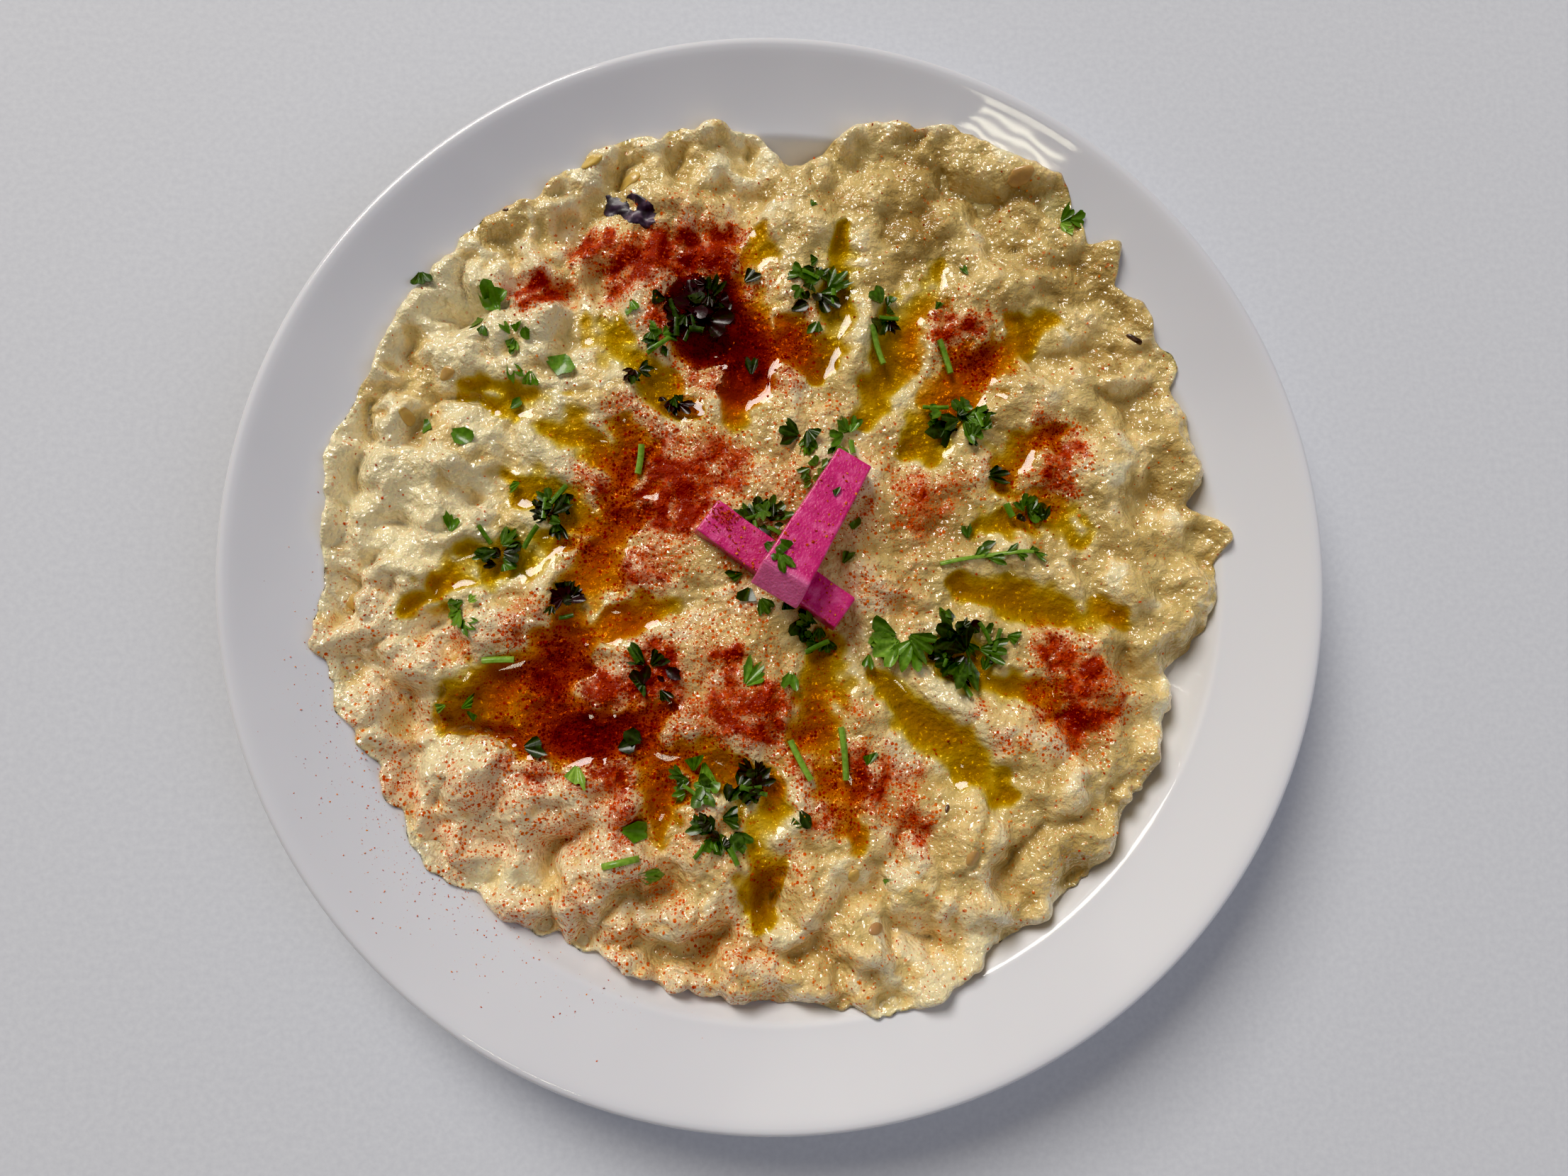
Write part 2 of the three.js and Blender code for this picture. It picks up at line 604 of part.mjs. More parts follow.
const COLOURS = {
  plate: { color: 0xe6e6ea, roughness: 0.12 },
  mash: { color: 0xd8cba0, roughness: 0.35 },
  oil: { color: 0x9a7a12, roughness: 0.05 },
  turnip: { color: 0xd94a96, roughness: 0.35 },
  skin: { color: 0x2a1c2b, roughness: 0.4 },
  parsley: { color: 0x2f5a24, roughness: 0.5 },
};

const part = new THREE.Group();

function addPiece(name, solid, look) {
  const material = new THREE.MeshStandardMaterial({ ...COLOURS[look], metalness: 0 });
  const mesh = new THREE.Mesh(geometryOf(solid), material);
  mesh.name = name;
  part.add(mesh);
}

addPiece('plate', solidOf(plateGeometry()), 'plate');

const batons = BATONS.map((baton) => batonSolid(baton));
const beds = BATONS.map((baton) => batonSolid(baton, GAP));
const bareMash = solidOf(mashGeometry()).subtract(solidOf(plateCutter()));
const inMash = [...SUNK_FLAKES.map(sunkFlake), ...SEEDS.map(seedSolid)];
const toppedMash = wasm.Manifold.union([bareMash, ...inMash]);
const mash = largestBody(toppedMash.subtract(wasm.Manifold.union(beds)).simplify(MESH_TOLERANCE));
addPiece('mash', mash, 'mash');

// The oil fills whatever lies below its level, and each pool is a body of its own.
const slab = new THREE.CylinderGeometry(OIL_REACH, OIL_REACH, OIL_LEVEL - FLOOR_HEIGHT - 1, 48);
slab.rotateX(Math.PI / 2).translate(0, 0, (OIL_LEVEL + FLOOR_HEIGHT + 1) / 2);
const pools = solidOf(slab)
  .subtract(raised(mash, GAP))
  .simplify(MESH_TOLERANCE)
  .decompose()
  .filter((pool) => pool.volume() > SMALLEST_POOL);
pools.forEach((pool, k) => addPiece(`oil_${String(k + 1).padStart(2, '0')}`, pool, 'oil'));

BATONS.forEach(({ name }, k) => addPiece(name, batons[k], 'turnip'));

// Lays a piece clear of the mash, the oil, the batons and what was laid before it.
const below = [mash, ...pools, ...batons];
const probe = surfaceProbe(below);
const takenSpace = below.map((solid) => raised(solid, GAP));

function layPiece(name, solid, look) {
  let clear = solid;
  for (const taken of takenSpace) {
    if (boxOf(clear).intersectsBox(boxOf(taken))) clear = clear.subtract(taken);
  }
  clear = largestBody(clear.simplify(MESH_TOLERANCE));
  addPiece(name, clear, look);
  takenSpace.push(clear.add(raised(clear, GAP)));
}

layPiece('charred_skin', charredSkin(CHARRED_SKIN, probe), 'skin');
PARSLEY.forEach((bunch, k) => {
  const name = `parsley_${String(k + 1).padStart(2, '0')}`;
  layPiece(name, bunchSolid(bunch, k + 1, probe), 'parsley');
});
STALKS.forEach((stalk, k) => {
  layPiece(`parsley_stalk_${k + 1}`, stalkSolid(stalk, probe), 'parsley');
});

export default part;
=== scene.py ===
import math

import bpy
import numpy as np
from mathutils import Matrix, Vector


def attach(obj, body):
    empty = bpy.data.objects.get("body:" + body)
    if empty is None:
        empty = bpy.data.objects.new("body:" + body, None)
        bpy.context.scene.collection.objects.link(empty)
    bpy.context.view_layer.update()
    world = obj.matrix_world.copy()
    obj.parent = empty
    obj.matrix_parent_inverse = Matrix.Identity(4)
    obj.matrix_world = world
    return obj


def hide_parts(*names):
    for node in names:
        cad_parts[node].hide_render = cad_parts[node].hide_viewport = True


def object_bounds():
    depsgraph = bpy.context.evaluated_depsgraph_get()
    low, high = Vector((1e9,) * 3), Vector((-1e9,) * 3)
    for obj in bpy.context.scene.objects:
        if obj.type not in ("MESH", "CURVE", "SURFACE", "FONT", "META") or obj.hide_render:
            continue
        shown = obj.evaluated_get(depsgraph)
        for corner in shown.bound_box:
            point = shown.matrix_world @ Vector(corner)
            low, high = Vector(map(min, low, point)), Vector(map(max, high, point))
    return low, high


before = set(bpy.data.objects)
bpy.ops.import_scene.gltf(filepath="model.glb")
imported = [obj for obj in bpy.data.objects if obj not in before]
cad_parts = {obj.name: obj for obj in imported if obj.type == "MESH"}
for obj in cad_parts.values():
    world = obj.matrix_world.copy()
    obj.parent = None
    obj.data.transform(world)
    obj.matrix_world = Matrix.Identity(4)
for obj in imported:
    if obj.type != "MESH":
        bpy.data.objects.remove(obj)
cad_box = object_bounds()

MM = 0.001

# ---- Camera ----
# A wide lens held close above the plate, a little to the near left of its middle, and
# tilted a few degrees towards the far right.
CAMERA_PLACE = (-0.0146, -0.0358, 0.2542)
TILT_FAR = math.radians(6.81)
TILT_RIGHT = math.radians(3.41)

camera_data = bpy.data.cameras.new("camera")
camera_data.lens = 24
camera_data.sensor_width = 36
camera_data.clip_start = 0.01
camera = bpy.data.objects.new("camera", camera_data)
bpy.context.collection.objects.link(camera)
ahead = Vector((
    math.sin(TILT_RIGHT),
    math.sin(TILT_FAR),
    -math.cos(TILT_FAR) * math.cos(TILT_RIGHT),
)).normalized()
right = ahead.cross(Vector((0, 1, 0))).normalized()
camera.matrix_world = (
    Matrix.Translation(CAMERA_PLACE)
    @ Matrix((right, right.cross(ahead), -ahead)).transposed().to_4x4()
)
bpy.context.scene.camera = camera
view = bpy.context.scene.view_settings
view.view_transform = "Standard"
view.use_curve_mapping = True  # the darkest tones go down to full black
view.curve_mapping.black_level = (0.006, 0.006, 0.006)
view.curve_mapping.update()

# ---- Table and light ----
# A pale laminate table top, lit by a large warm window on the far left, by light through
# blinds on the near left and by a dim, slightly cool room.
TABLE_SIZE = 2.4
LOUVRES = 7  # bright slits between blinds, which show as strokes on the oil
LOUVRE_ELEVATION, LOUVRE_STEP = 78, 0.78


def srgb(code):
    """A colour written as sRGB hex, as linear RGBA."""
    channels = [int(code[k:k + 2], 16) / 255 for k in (1, 3, 5)]
    return [c / 12.92 if c <= 0.04045 else ((c + 0.055) / 1.055) ** 2.4 for c in channels] + [1]


def add_node(tree, kind, inputs=(), stops=(), **settings):
    """Adds a node with its settings and colour stops, and sets or links its inputs."""
    node = tree.nodes.new("ShaderNode" + kind)
    for name, value in settings.items():
        setattr(node, name, value)
    for name, value in dict(inputs).items():
        if isinstance(value, bpy.types.Node):
            value = next(socket for socket in value.outputs if socket.enabled)
        if isinstance(value, bpy.types.NodeSocket):
            tree.links.new(value, node.inputs[name])
        else:
            node.inputs[name].default_value = srgb(value) if isinstance(value, str) else value
    for k, (position, colour) in enumerate(stops):
        if k == len(node.color_ramp.elements):
            node.color_ramp.elements.new(1)
        node.color_ramp.elements[k].position = position
        node.color_ramp.elements[k].color = srgb(colour)
    return node


def new_material(name):
    """An empty node material, as (material, tree)."""
    made = bpy.data.materials.new(name)
    made.use_nodes = True
    made.node_tree.nodes.clear()
    return made, made.node_tree


def add_light(name, azimuth, elevation, distance, size, watts, colour):
    """A rectangular lamp that faces the plate, from its direction in degrees."""
    turn, rise = math.radians(azimuth), math.radians(elevation)
    towards = Vector((
        math.cos(turn) * math.cos(rise), math.sin(turn) * math.cos(rise), math.sin(rise)
    ))
    lamp = bpy.data.lights.new(name, "AREA")
    lamp.shape = "RECTANGLE"
    lamp.size, lamp.size_y = size
    lamp.energy = watts
    lamp.color = srgb(colour)[:3]
    holder = bpy.data.objects.new(name, lamp)
    holder.location = towards * distance
    holder.rotation_euler = towards.to_track_quat("Z", "Y").to_euler()
    bpy.context.collection.objects.link(holder)
    return holder


bpy.ops.mesh.primitive_plane_add(size=TABLE_SIZE)
table = bpy.context.object
table.name = "table"
# Matt laminate, pressed on a lightly textured plate: an even pale grey that reflects almost
# nothing, with a grit of about 1.4 mm.
laminate, tree = new_material("matt_white_laminate")
place = add_node(tree, "TexCoord").outputs["Object"]
grit = add_node(tree, "TexNoise", {"Vector": place, "Scale": 700, "Detail": 3})
tint = add_node(tree, "ValToRGB", {"Fac": grit}, [(0.3, "#d7dbe3"), (0.7, "#dfe3ea")])
relief = add_node(tree, "Bump", {"Height": grit, "Strength": 0.14, "Distance": 0.0003})
surface = add_node(tree, "BsdfPrincipled", {
    "Base Color": tint, "Roughness": 0.75, "Normal": relief,
})
add_node(tree, "OutputMaterial", {"Surface": surface})
table.data.materials.append(laminate)

add_light("window", 121, 38, 6.0, (2.6, 2.5), 274, "#fffaf3")
add_light("window_top", 121, 52, 4.0, (0.9, 0.26), 9, "#fff0d8")
room_light = add_light("room", 340, 45, 6.0, (4.8, 4.8), 94, "#dae6ff")
room_light.visible_glossy = False
for strip in range(LOUVRES):
    elevation = LOUVRE_ELEVATION - LOUVRE_STEP * (strip - LOUVRES // 2)
    add_light(f"louvre_{strip}", 238, elevation, 4.0, (0.3, 0.024), 0.42, "#fff6dc")
world = bpy.data.worlds.new("room")
world.use_nodes = True
world.node_tree.nodes["Background"].inputs["Color"].default_value = srgb("#ffe6cc")
world.node_tree.nodes["Background"].inputs["Strength"].default_value = 0.105
bpy.context.scene.world = world

# ---- Plate ----
# A round rim plate of white porcelain, jiggered on a turning mould: a flat well, a wall
# that rises to a straight sloping rim, a rounded lip and a foot ring left on the underside.
PLATE_RADIUS = 125
PLATE_HEIGHT = 22
WELL_RADIUS = 104
WELL_EDGE_HEIGHT = 14
FLOOR_RADIUS = 94
FLOOR_HEIGHT = 6
PLATE_SEGMENTS = 192
MERGE_REACH = 0.00001
SOFTENING = (-0.8, -0.4, 0, 0.4, 0.8)  # the glaze rounds corners over this reach


def plate_top(radius):
    """Height of the plate's upper side, for an array of radii."""
    wall = np.clip((radius - FLOOR_RADIUS) / (WELL_RADIUS - FLOOR_RADIUS), 0, 1)
    slope = np.clip((radius - WELL_RADIUS) / (PLATE_RADIUS - 2 - WELL_RADIUS), 0, 1)
    well = FLOOR_HEIGHT + (WELL_EDGE_HEIGHT - FLOOR_HEIGHT) * wall ** 2
    return well + (PLATE_HEIGHT - WELL_EDGE_HEIGHT) * slope ** 1.15


def turn_faces_out():
    """Turns all faces of the active mesh outwards."""
    bpy.ops.object.mode_set(mode="EDIT")
    bpy.ops.mesh.select_all(action="SELECT")
    bpy.ops.mesh.normals_make_consistent(inside=False)
    bpy.ops.object.mode_set(mode="OBJECT")


def turned(name, rings):
    """A turned body: a disc at the first ring, its edge extruded ring by ring, then closed."""
    bpy.ops.object.select_all(action="DESELECT")
    radius, height = rings[0]
    bpy.ops.mesh.primitive_circle_add(
        vertices=PLATE_SEGMENTS, radius=radius * MM, fill_type="NGON",
        location=(0, 0, height * MM),
    )
    body = bpy.context.object
    body.name = name
    bpy.ops.object.transform_apply()
    bpy.ops.object.mode_set(mode="EDIT")
    bpy.ops.mesh.select_mode(type="EDGE")
    bpy.ops.mesh.select_all(action="SELECT")
    for next_radius, next_height in rings[1:]:
        bpy.ops.mesh.extrude_edges_move(
            TRANSFORM_OT_translate={"value": (0, 0, (next_height - height) * MM)}
        )
        bpy.ops.transform.resize(value=(next_radius / radius, next_radius / radius, 1))
        radius, height = next_radius, next_height
    bpy.ops.mesh.edge_face_add()
    bpy.ops.mesh.select_all(action="SELECT")
    bpy.ops.mesh.remove_doubles(threshold=MERGE_REACH)
    bpy.ops.object.mode_set(mode="OBJECT")
    turn_faces_out()
    bpy.ops.object.shade_smooth()
    return body


upper_radii = np.concatenate([
    np.linspace(60, 92, 5), np.arange(93.5, 108, 0.5), np.linspace(109, 123, 12),
])
softened = sum(plate_top(upper_radii + step) for step in SOFTENING) / len(SOFTENING)
lip = [(123.9, 22.0), (124.6, 21.75), (125.0, 21.1), (124.8, 20.5), (124.0, 19.9)]
under = [
    (122, 18.9), (116, 15.9), (110, 12.6), (104, 9.2), (99, 6.2), (94, 3.9), (88, 2.6),
    (80, 2.1), (78.9, 1.6), (78.2, 0.4), (77.6, 0.0), (74.4, 0.0), (73.8, 0.4),
    (73.2, 1.5), (72, 1.8), (40, 1.8),
]
plate = turned("plate_porcelain", [*zip(upper_radii, softened), *lip, *under])
# Porcelain under a clear fired glaze: a soft, slightly bluish white with sharp highlights,
# which the glaze's orange peel, about 11 mm across, bends a little.
porcelain, tree = new_material("white_glazed_porcelain")
place = add_node(tree, "TexCoord").outputs["Object"]
cloud = add_node(tree, "TexNoise", {"Vector": place, "Scale": 14, "Detail": 3})
tint = add_node(tree, "ValToRGB", {"Fac": cloud}, [(0.35, "#dee0e7"), (0.65, "#e6e8ee")])
orange_peel = add_node(tree, "TexNoise", {"Vector": place, "Scale": 90, "Detail": 1})
relief = add_node(tree, "Bump", {"Height": orange_peel, "Strength": 0.12, "Distance": 0.0004})
surface = add_node(tree, "BsdfPrincipled", {
    "Base Color": tint, "Roughness": 0.5, "IOR": 1.5, "Coat Weight": 0.8, "Coat Roughness": 0.035,
    "Coat Normal": relief, "Subsurface Weight": 0.05, "Subsurface Scale": 0.001,
})
add_node(tree, "OutputMaterial", {"Surface": surface})
plate.data.materials.append(porcelain)
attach(plate, "root")
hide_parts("plate")

# ---- Mash ----
# Smoked aubergine mashed with tahini, heaped on the plate, spread to the well's edge and
# pressed with a spoon's back into furrows that run outwards. It is moist and waxy, with
# lumps of flesh, and takes up oil and paprika where they lie on it.
OUTLINE_RADII = [
    104.7, 103.3, 106.1, 109.0, 114.3, 110.5, 103.4, 106.6, 108.0, 106.4, 106.1, 105.8,
    104.9, 105.4, 104.0, 104.6, 100.7, 100.1, 100.8, 105.2, 102.1, 101.6, 98.4, 96.4,
]  # every 15 degrees from +X
OUTLINE_LOBES = [  # angle and width in degrees, height
    (87, 5, -4.5), (100, 3, 1), (54, 2.5, 2.5), (49.5, 2, 2.5), (46.4, 1.2, -2),
    (43.5, 1.8, 3.5), (38.5, 2.5, -2.5), (8, 2, -5), (3, 2.5, 3.5),
    (191, 3, 2.2), (302, 3, -3), (246, 3, -1.8), (350, 3.5, 3.5),
]
MASH_HEIGHT = 17.5
SHOULDER = 4.0
FURROW_DEPTH = 2.0
DIP_DEPTH = 1.7
UNDERSIDE_GAP = 0.3  # between the mash's underside and the glaze
EDGE_THICKNESS = 0.6
UNDERSIDE_RINGS = [(-0.0009, 0.994), (-0.0035, 0.93), (-0.0045, 0.87)]  # drop in m, scale
FURROWS = [  # start and end as (degrees, radius), half width, bow to the left
    ((109.5, 34), (95.1, 78), 6.6, -2), ((112.0, 53), (109.5, 68), 6.8, 0),
    ((121.2, 40), (129.5, 74), 4.2, 1.7), ((154.7, 42), (152.2, 84), 4.7, -4.4),
    ((141.0, 47), (175.0, 40), 7.2, 0), ((171.9, 42), (163.2, 66), 4, 0),
    ((175.4, 50), (187.8, 88), 4.8, -0.9), ((173.0, 42), (204.0, 56), 6.8, 0),
    ((201.4, 50), (205.7, 84), 8, 0), ((202.6, 29), (200.6, 51), 3.8, 0),
    ((206.0, 70), (227.0, 62), 7.5, 0), ((232.0, 43), (226.0, 62), 5, 0),
    ((234.5, 51), (246.5, 69), 5.6, 0), ((239.0, 53), (262.0, 51), 5.4, 0),
    ((265.4, 49), (265.8, 83), 4.8, 0), ((295.0, 24), (285.3, 65), 6.2, -5.2),
    ((306.9, 34), (312.8, 75), 4.5, 0), ((331.5, 42), (329.0, 53), 6.6, 0),
    ((328.9, 54), (332.7, 72), 4.4, 0), ((350.1, 40), (349.8, 80), 4.3, 0),
    ((8.7, 46), (4.8, 72), 5.2, 3), ((19.1, 54), (28.5, 63), 5, 0),
    ((27.0, 62), (24.5, 73), 3, 0), ((41.0, 40), (42.1, 87), 6.4, 2.5),
    ((59.0, 37), (61.8, 80), 5.2, 2.5), ((79.5, 44), (80.1, 82), 4.2, -1.2),
    ((80.0, 46), (90.0, 57), 4.4, 0),
]
SOAKED = [  # centre, radius and how much darker, lighter below zero: partly brown, see-through soaked flesh, partly painted shade; the lighter ones on the left are painted light
    (-1, -24, 15, 0.4), (31, 82, 9, 0.45), (35, 97, 6, 0.3), (57, 92, 6, 0.35),
    (-72, -60, 24, -0.32), (-90, 5, 22, -0.35), (-70, 57, 20, -0.25), (34, 6, 14, 0.4),
    (62, -70, 14, 0.16), (90, 0, 16, 0.06), (0, -86, 26, 0.1),
]
PITS = [  # centre, radius and depth of hollows where furrows meet
    (-46, -34, 13, 2.0), (-60, -31, 9, 0.8), (-13, 50, 12, 1.6), (-20, 62, 9, 1.2),
    (-34, 2, 9, 0.8), (44, 50, 9, 0.8), (28, 45, 6, 0.8),
]
FURROW_TAPER = 0.55
FURROW_STEPS = 6
DIP_REACH = 3.5  # each furrow lies in a wider dip, which runs on past its ends
DIP_INWARD = 18
DIP_OUTWARD = 8
CREASE = 5  # how sharp the creases between lumps are
FLESH_LUMPS = [(12.5, 70), (6.4, 80), (3.3, 90)]  # size of large, middle and small, and seed
DOME_MEAN = 0.6
SWELL, SWELL_LENGTH = 0.5, 75  # rings left by turning the plate under the spoon
FALL = 2.0  # how much lower the spread lies at its edge
RIM_COVER = 3.0
MASH_CELLS = 308  # along one side of the grid that is wrapped to the round outline


def smooth(low, high, value):
    """A soft step from 0 at `low` to 1 at `high`."""
    t = np.clip((value - low) / (high - low), 0, 1)
    return t * t * (3 - 2 * t)


def lattice(i, j, seed):
    """A fixed random number in 0..1 for each lattice point."""
    s = np.sin(i * 127.1 + j * 311.7 + seed * 74.7) * 43758.5453
    return s - np.floor(s)


def lumps(x, y, size, height, seed):
    """Broad rounded lumps about `size` across, up to `height` above and below zero."""
    i, j = np.floor(x / size), np.floor(y / size)
    u, v = smooth(0, 1, x / size - i), smooth(0, 1, y / size - j)
    near = lattice(i, j, seed) * (1 - u) + lattice(i + 1, j, seed) * u
    far = lattice(i, j + 1, seed) * (1 - u) + lattice(i + 1, j + 1, seed) * u
    return height * (2 * (near * (1 - v) + far * v) - 1)


def ripple(x, y, size, seed):
    """Gradient noise in about -1..1, for relief finer than the lumps."""
    x, y = x / size + 17.3 * seed, y / size - 9.7 * seed
    i, j = np.floor(x), np.floor(y)
    total = 0
    for a in (0, 1):
        for b in (0, 1):
            across, up = x - i - a, y - j - b
            turn = 2 * np.pi * lattice(i + a, j + b, seed)
            weight = smooth(0, 1, 1 - np.abs(across)) * smooth(0, 1, 1 - np.abs(up))
            total = total + weight * (np.cos(turn) * across + np.sin(turn) * up)
    return 1.6 * total


def domes(x, y, size, seed):
    """Rounded lumps with creases between them: height in about 0..1, and a tone for each."""
    gx, gy = x / size, y / size
    i, j = np.floor(gx), np.floor(gy)
    total, toned = 0, 0
    for a in (-1, 0, 1):
        for b in (-1, 0, 1):
            random = [lattice(i + a, j + b, seed + k) for k in range(6)]
            across = gx - i - a - 0.12 - 0.76 * random[0]
            up = gy - j - b - 0.12 - 0.76 * random[1]
            turn = np.pi * random[5]
            longer = 0.72 * (np.cos(turn) * across + np.sin(turn) * up)
            shorter = 1.15 * (np.cos(turn) * up - np.sin(turn) * across)
            off = (longer ** 2 + shorter ** 2) / (0.55 + 0.5 * random[3])
            weight = np.exp(CREASE * (0.45 + 0.55 * random[2] - 1.5 * off))
            total, toned = total + weight, toned + weight * random[4]
    return np.log(total) / CREASE, toned / total


def outline_table():
    """The outline's radius for every tenth of a degree."""
    turn = OUTLINE_TURNS
    step = 360 / len(OUTLINE_RADII)
    k = np.floor(turn / step).astype(int) % len(OUTLINE_RADII)
    radii = np.array(OUTLINE_RADII)
    share = smooth(0, 1, turn / step - np.floor(turn / step))
    radius = radii[k] * (1 - share) + radii[(k + 1) % len(radii)] * share
    for angle, width, height in OUTLINE_LOBES:
        off = np.abs(np.mod(turn - angle + 540, 360) - 180) / width
        radius = radius + height * np.exp(-off * off)
    x, y = WELL_RADIUS * np.cos(np.radians(turn)), WELL_RADIUS * np.sin(np.radians(turn))
    x, y = x + 2.5 * ripple(x, y, 14, 45), y + 2.5 * ripple(x, y, 14, 46)
    bulges = 3.0 * (domes(x, y, 10, 43)[0] - 0.5) + 1.0 * (domes(x, y, 4.5, 44)[0] - 0.5)
    return radius + lumps(x, y, 8, 0.6, 11) + bulges + 0.3 * ripple(x, y, 2.2, 42)


OUTLINE_TURNS = np.arange(0, 360.05, 0.1)
OUTLINE = outline_table()


def outline_radius(degrees):
    """Radius of the mash's outline."""
    return np.interp(np.mod(degrees, 360), OUTLINE_TURNS, OUTLINE)


def furrow_share(x, y):
    """1 in the bottom of a furrow and 0 on the ridges, and the same for its wider dip."""
    wx = x + lumps(x, y, 9, 1.0, 21) + 2.0 * ripple(x, y, 8, 25) + 1.1 * ripple(x, y, 3.6, 23)
    wy = y + lumps(x, y, 9, 1.0, 22) + 2.0 * ripple(x, y, 8, 26) + 1.1 * ripple(x, y, 3.6, 24)
    nearest, around = np.full(np.shape(x), 9.0), np.full(np.shape(x), 9.0)
    for start, end, half, bow in FURROWS:
        ends = [
            np.array([r * math.cos(math.radians(a)), r * math.sin(math.radians(a))])
            for a, r in (start, end)
        ]
        along = ends[1] - ends[0]
        left = np.array([-along[1], along[0]]) / np.hypot(*along)
        shares = np.arange(FURROW_STEPS + 1) / FURROW_STEPS
        line = [ends[0] + along * t + left * 4 * bow * t * (1 - t) for t in shares]
        for k in range(FURROW_STEPS):
            (ax, ay), (dx, dy) = line[k], line[k + 1] - line[k]
            on_line = ((wx - ax) * dx + (wy - ay) * dy) / (dx * dx + dy * dy)
            t = np.clip(on_line, 0, 1)
            from_middle = 2 * (k + t) / FURROW_STEPS - 1
            width = half * (1 - FURROW_TAPER * from_middle ** 2)
            nearest = np.minimum(nearest, np.hypot(wx - ax - t * dx, wy - ay - t * dy) / width)
            step = np.hypot(dx, dy)
            t = np.clip(on_line, -DIP_INWARD / step * (k == 0),
                        1 + DIP_OUTWARD / step * (k == FURROW_STEPS - 1))
            beyond = step * np.abs(t - np.clip(t, 0, 1))
            off = np.hypot(wx - ax - t * dx, wy - ay - t * dy) / (half + DIP_REACH - 0.18 * beyond)
            around = np.minimum(around, off + 0.04 * beyond)
    return 1 - smooth(0.1, 1.55, nearest), 1 - smooth(0.2, 1.3, around)


def flesh_lumps(x, y, outer):
    """Lumps and threads of flesh, finer than the spread's own form, and their tone."""
    radius = np.hypot(x, y)
    around = np.arctan2(y, x)
    warp_x = x + 2.0 * ripple(x, y, 8, 51) + 0.8 * ripple(x, y, 3.4, 58)
    warp_y = y + 2.0 * ripple(x, y, 8, 52) + 0.8 * ripple(x, y, 3.4, 59)
    (large, large_tone), (middle, middle_tone), (small, small_tone) = (
        domes(warp_x, warp_y, size, seed) for size, seed in FLESH_LUMPS
    )
    rough = smooth(-0.4, 0.5, ripple(x, y, 24, 54) + 0.5 * outer - 0.1 - 0.0025 * (x + y))
    height = (1.8 + 5.7 * outer) * (1 - 0.0035 * y - 0.0018 * x) * (large - DOME_MEAN)
    middle_size = (0.94 + 1.62 * outer) * (1 - 0.0045 * x - 0.001 * y)
    middle_size = middle_size * (0.8 + 0.2 * smooth(20, 45, radius))
    height = height + (0.35 + 0.65 * rough) * middle_size * (middle - DOME_MEAN)
    height = height + (0.3 + 0.7 * rough) * (0.46 + 0.34 * outer) * (small - DOME_MEAN)
    smear = ripple(around * 34, radius * 0.26, 3.4, 55)
    smear = smear * smooth(12, 30, radius) * (1 - smooth(76, 94, radius))
    height = height + (0.55 - 0.25 * rough) * smear
    height = height + 0.4 * ripple(x, y, 5, 57) + 0.12 * ripple(x, y, 1.9, 56)
    return height, 0.3 * large_tone + 0.45 * middle_tone + 0.25 * small_tone


def mash_height(x, y):
    """Height of the mash's surface."""
    radius = np.hypot(x, y)
    inward = outline_radius(np.degrees(np.arctan2(y, x))) - radius
    ground = plate_top(radius) + UNDERSIDE_GAP + EDGE_THICKNESS
    furrow, dip = furrow_share(x, y)
    swell = SWELL * np.cos(2 * np.pi * radius / SWELL_LENGTH)
    fall = FALL * smooth(76, WELL_RADIUS, radius)
    relief = lumps(x, y, 15, 0.8, 1) + 1.2 * ripple(x, y, 19, 53) + 1.0 * ripple(x, y, 10.5, 50)
    deep = FURROW_DEPTH + 0.9 * ripple(x, y, 10, 60) + 0.6 * relief
    in_well = MASH_HEIGHT + swell - fall + relief - deep * furrow - DIP_DEPTH * dip
    for px, py, reach, depth in PITS:
        in_well = in_well - depth * (1 - smooth(0.4, 1.2, np.hypot(x - px, y - py) / reach))
    on_rim = plate_top(radius) + RIM_COVER + 0.4 * relief
    height = (in_well + on_rim + np.hypot(in_well - on_rim, 2.5)) / 2
    flesh_height, _ = flesh_lumps(x, y, smooth(50, 88, radius))
    height = height + flesh_height * (1 - 0.5 * smooth(0, 0.6, furrow))
    t = np.clip(inward / SHOULDER, 0, 1)
    shown = ground + (height - ground) * np.sqrt(1 - (1 - t) ** 2)
    return np.where(inward > 0, np.maximum(shown, plate_top(radius) + 0.5), plate_top(radius))


def wrap_to_outline(u, v, inset):
    """Wraps the square -1..1 to the mash's outline, `inset` inside it."""
    wide = np.abs(u) > np.abs(v)
    safe_u, safe_v = np.where(u == 0, 1, u), np.where(v == 0, 1, v)
    share = np.where(wide, u, v)
    turn = np.where(wide, np.pi / 4 * v / safe_u, np.pi / 2 - np.pi / 4 * u / safe_v)
    turn = np.where(share < 0, turn + np.pi, turn)
    radius = np.abs(share) * (outline_radius(np.degrees(turn)) - inset)
    return radius * np.cos(turn), radius * np.sin(turn)


# The oil stands level in the furrows and creeps up their walls as a wetting liquid does:
# its surface is the lowest one of that tension which stays above the mash.
OIL_LEVEL = 14.7
OIL_CREEP = 2.2  # how far the surface curves up at a wall
OIL_REACH = 90
OIL_ROUNDS = 260  # steps in which the surface settles
SOAK_REACH = 2.4  # how far oil soaks into the mash round a pool
HOLLOWS = (2.4, 0.8)  # reaches over which hollows are felt: painted shade darkens the colour in them, and painted light lightens the crests
CELL = 0.4
CELLS = 2 * int(118 / CELL) + 1

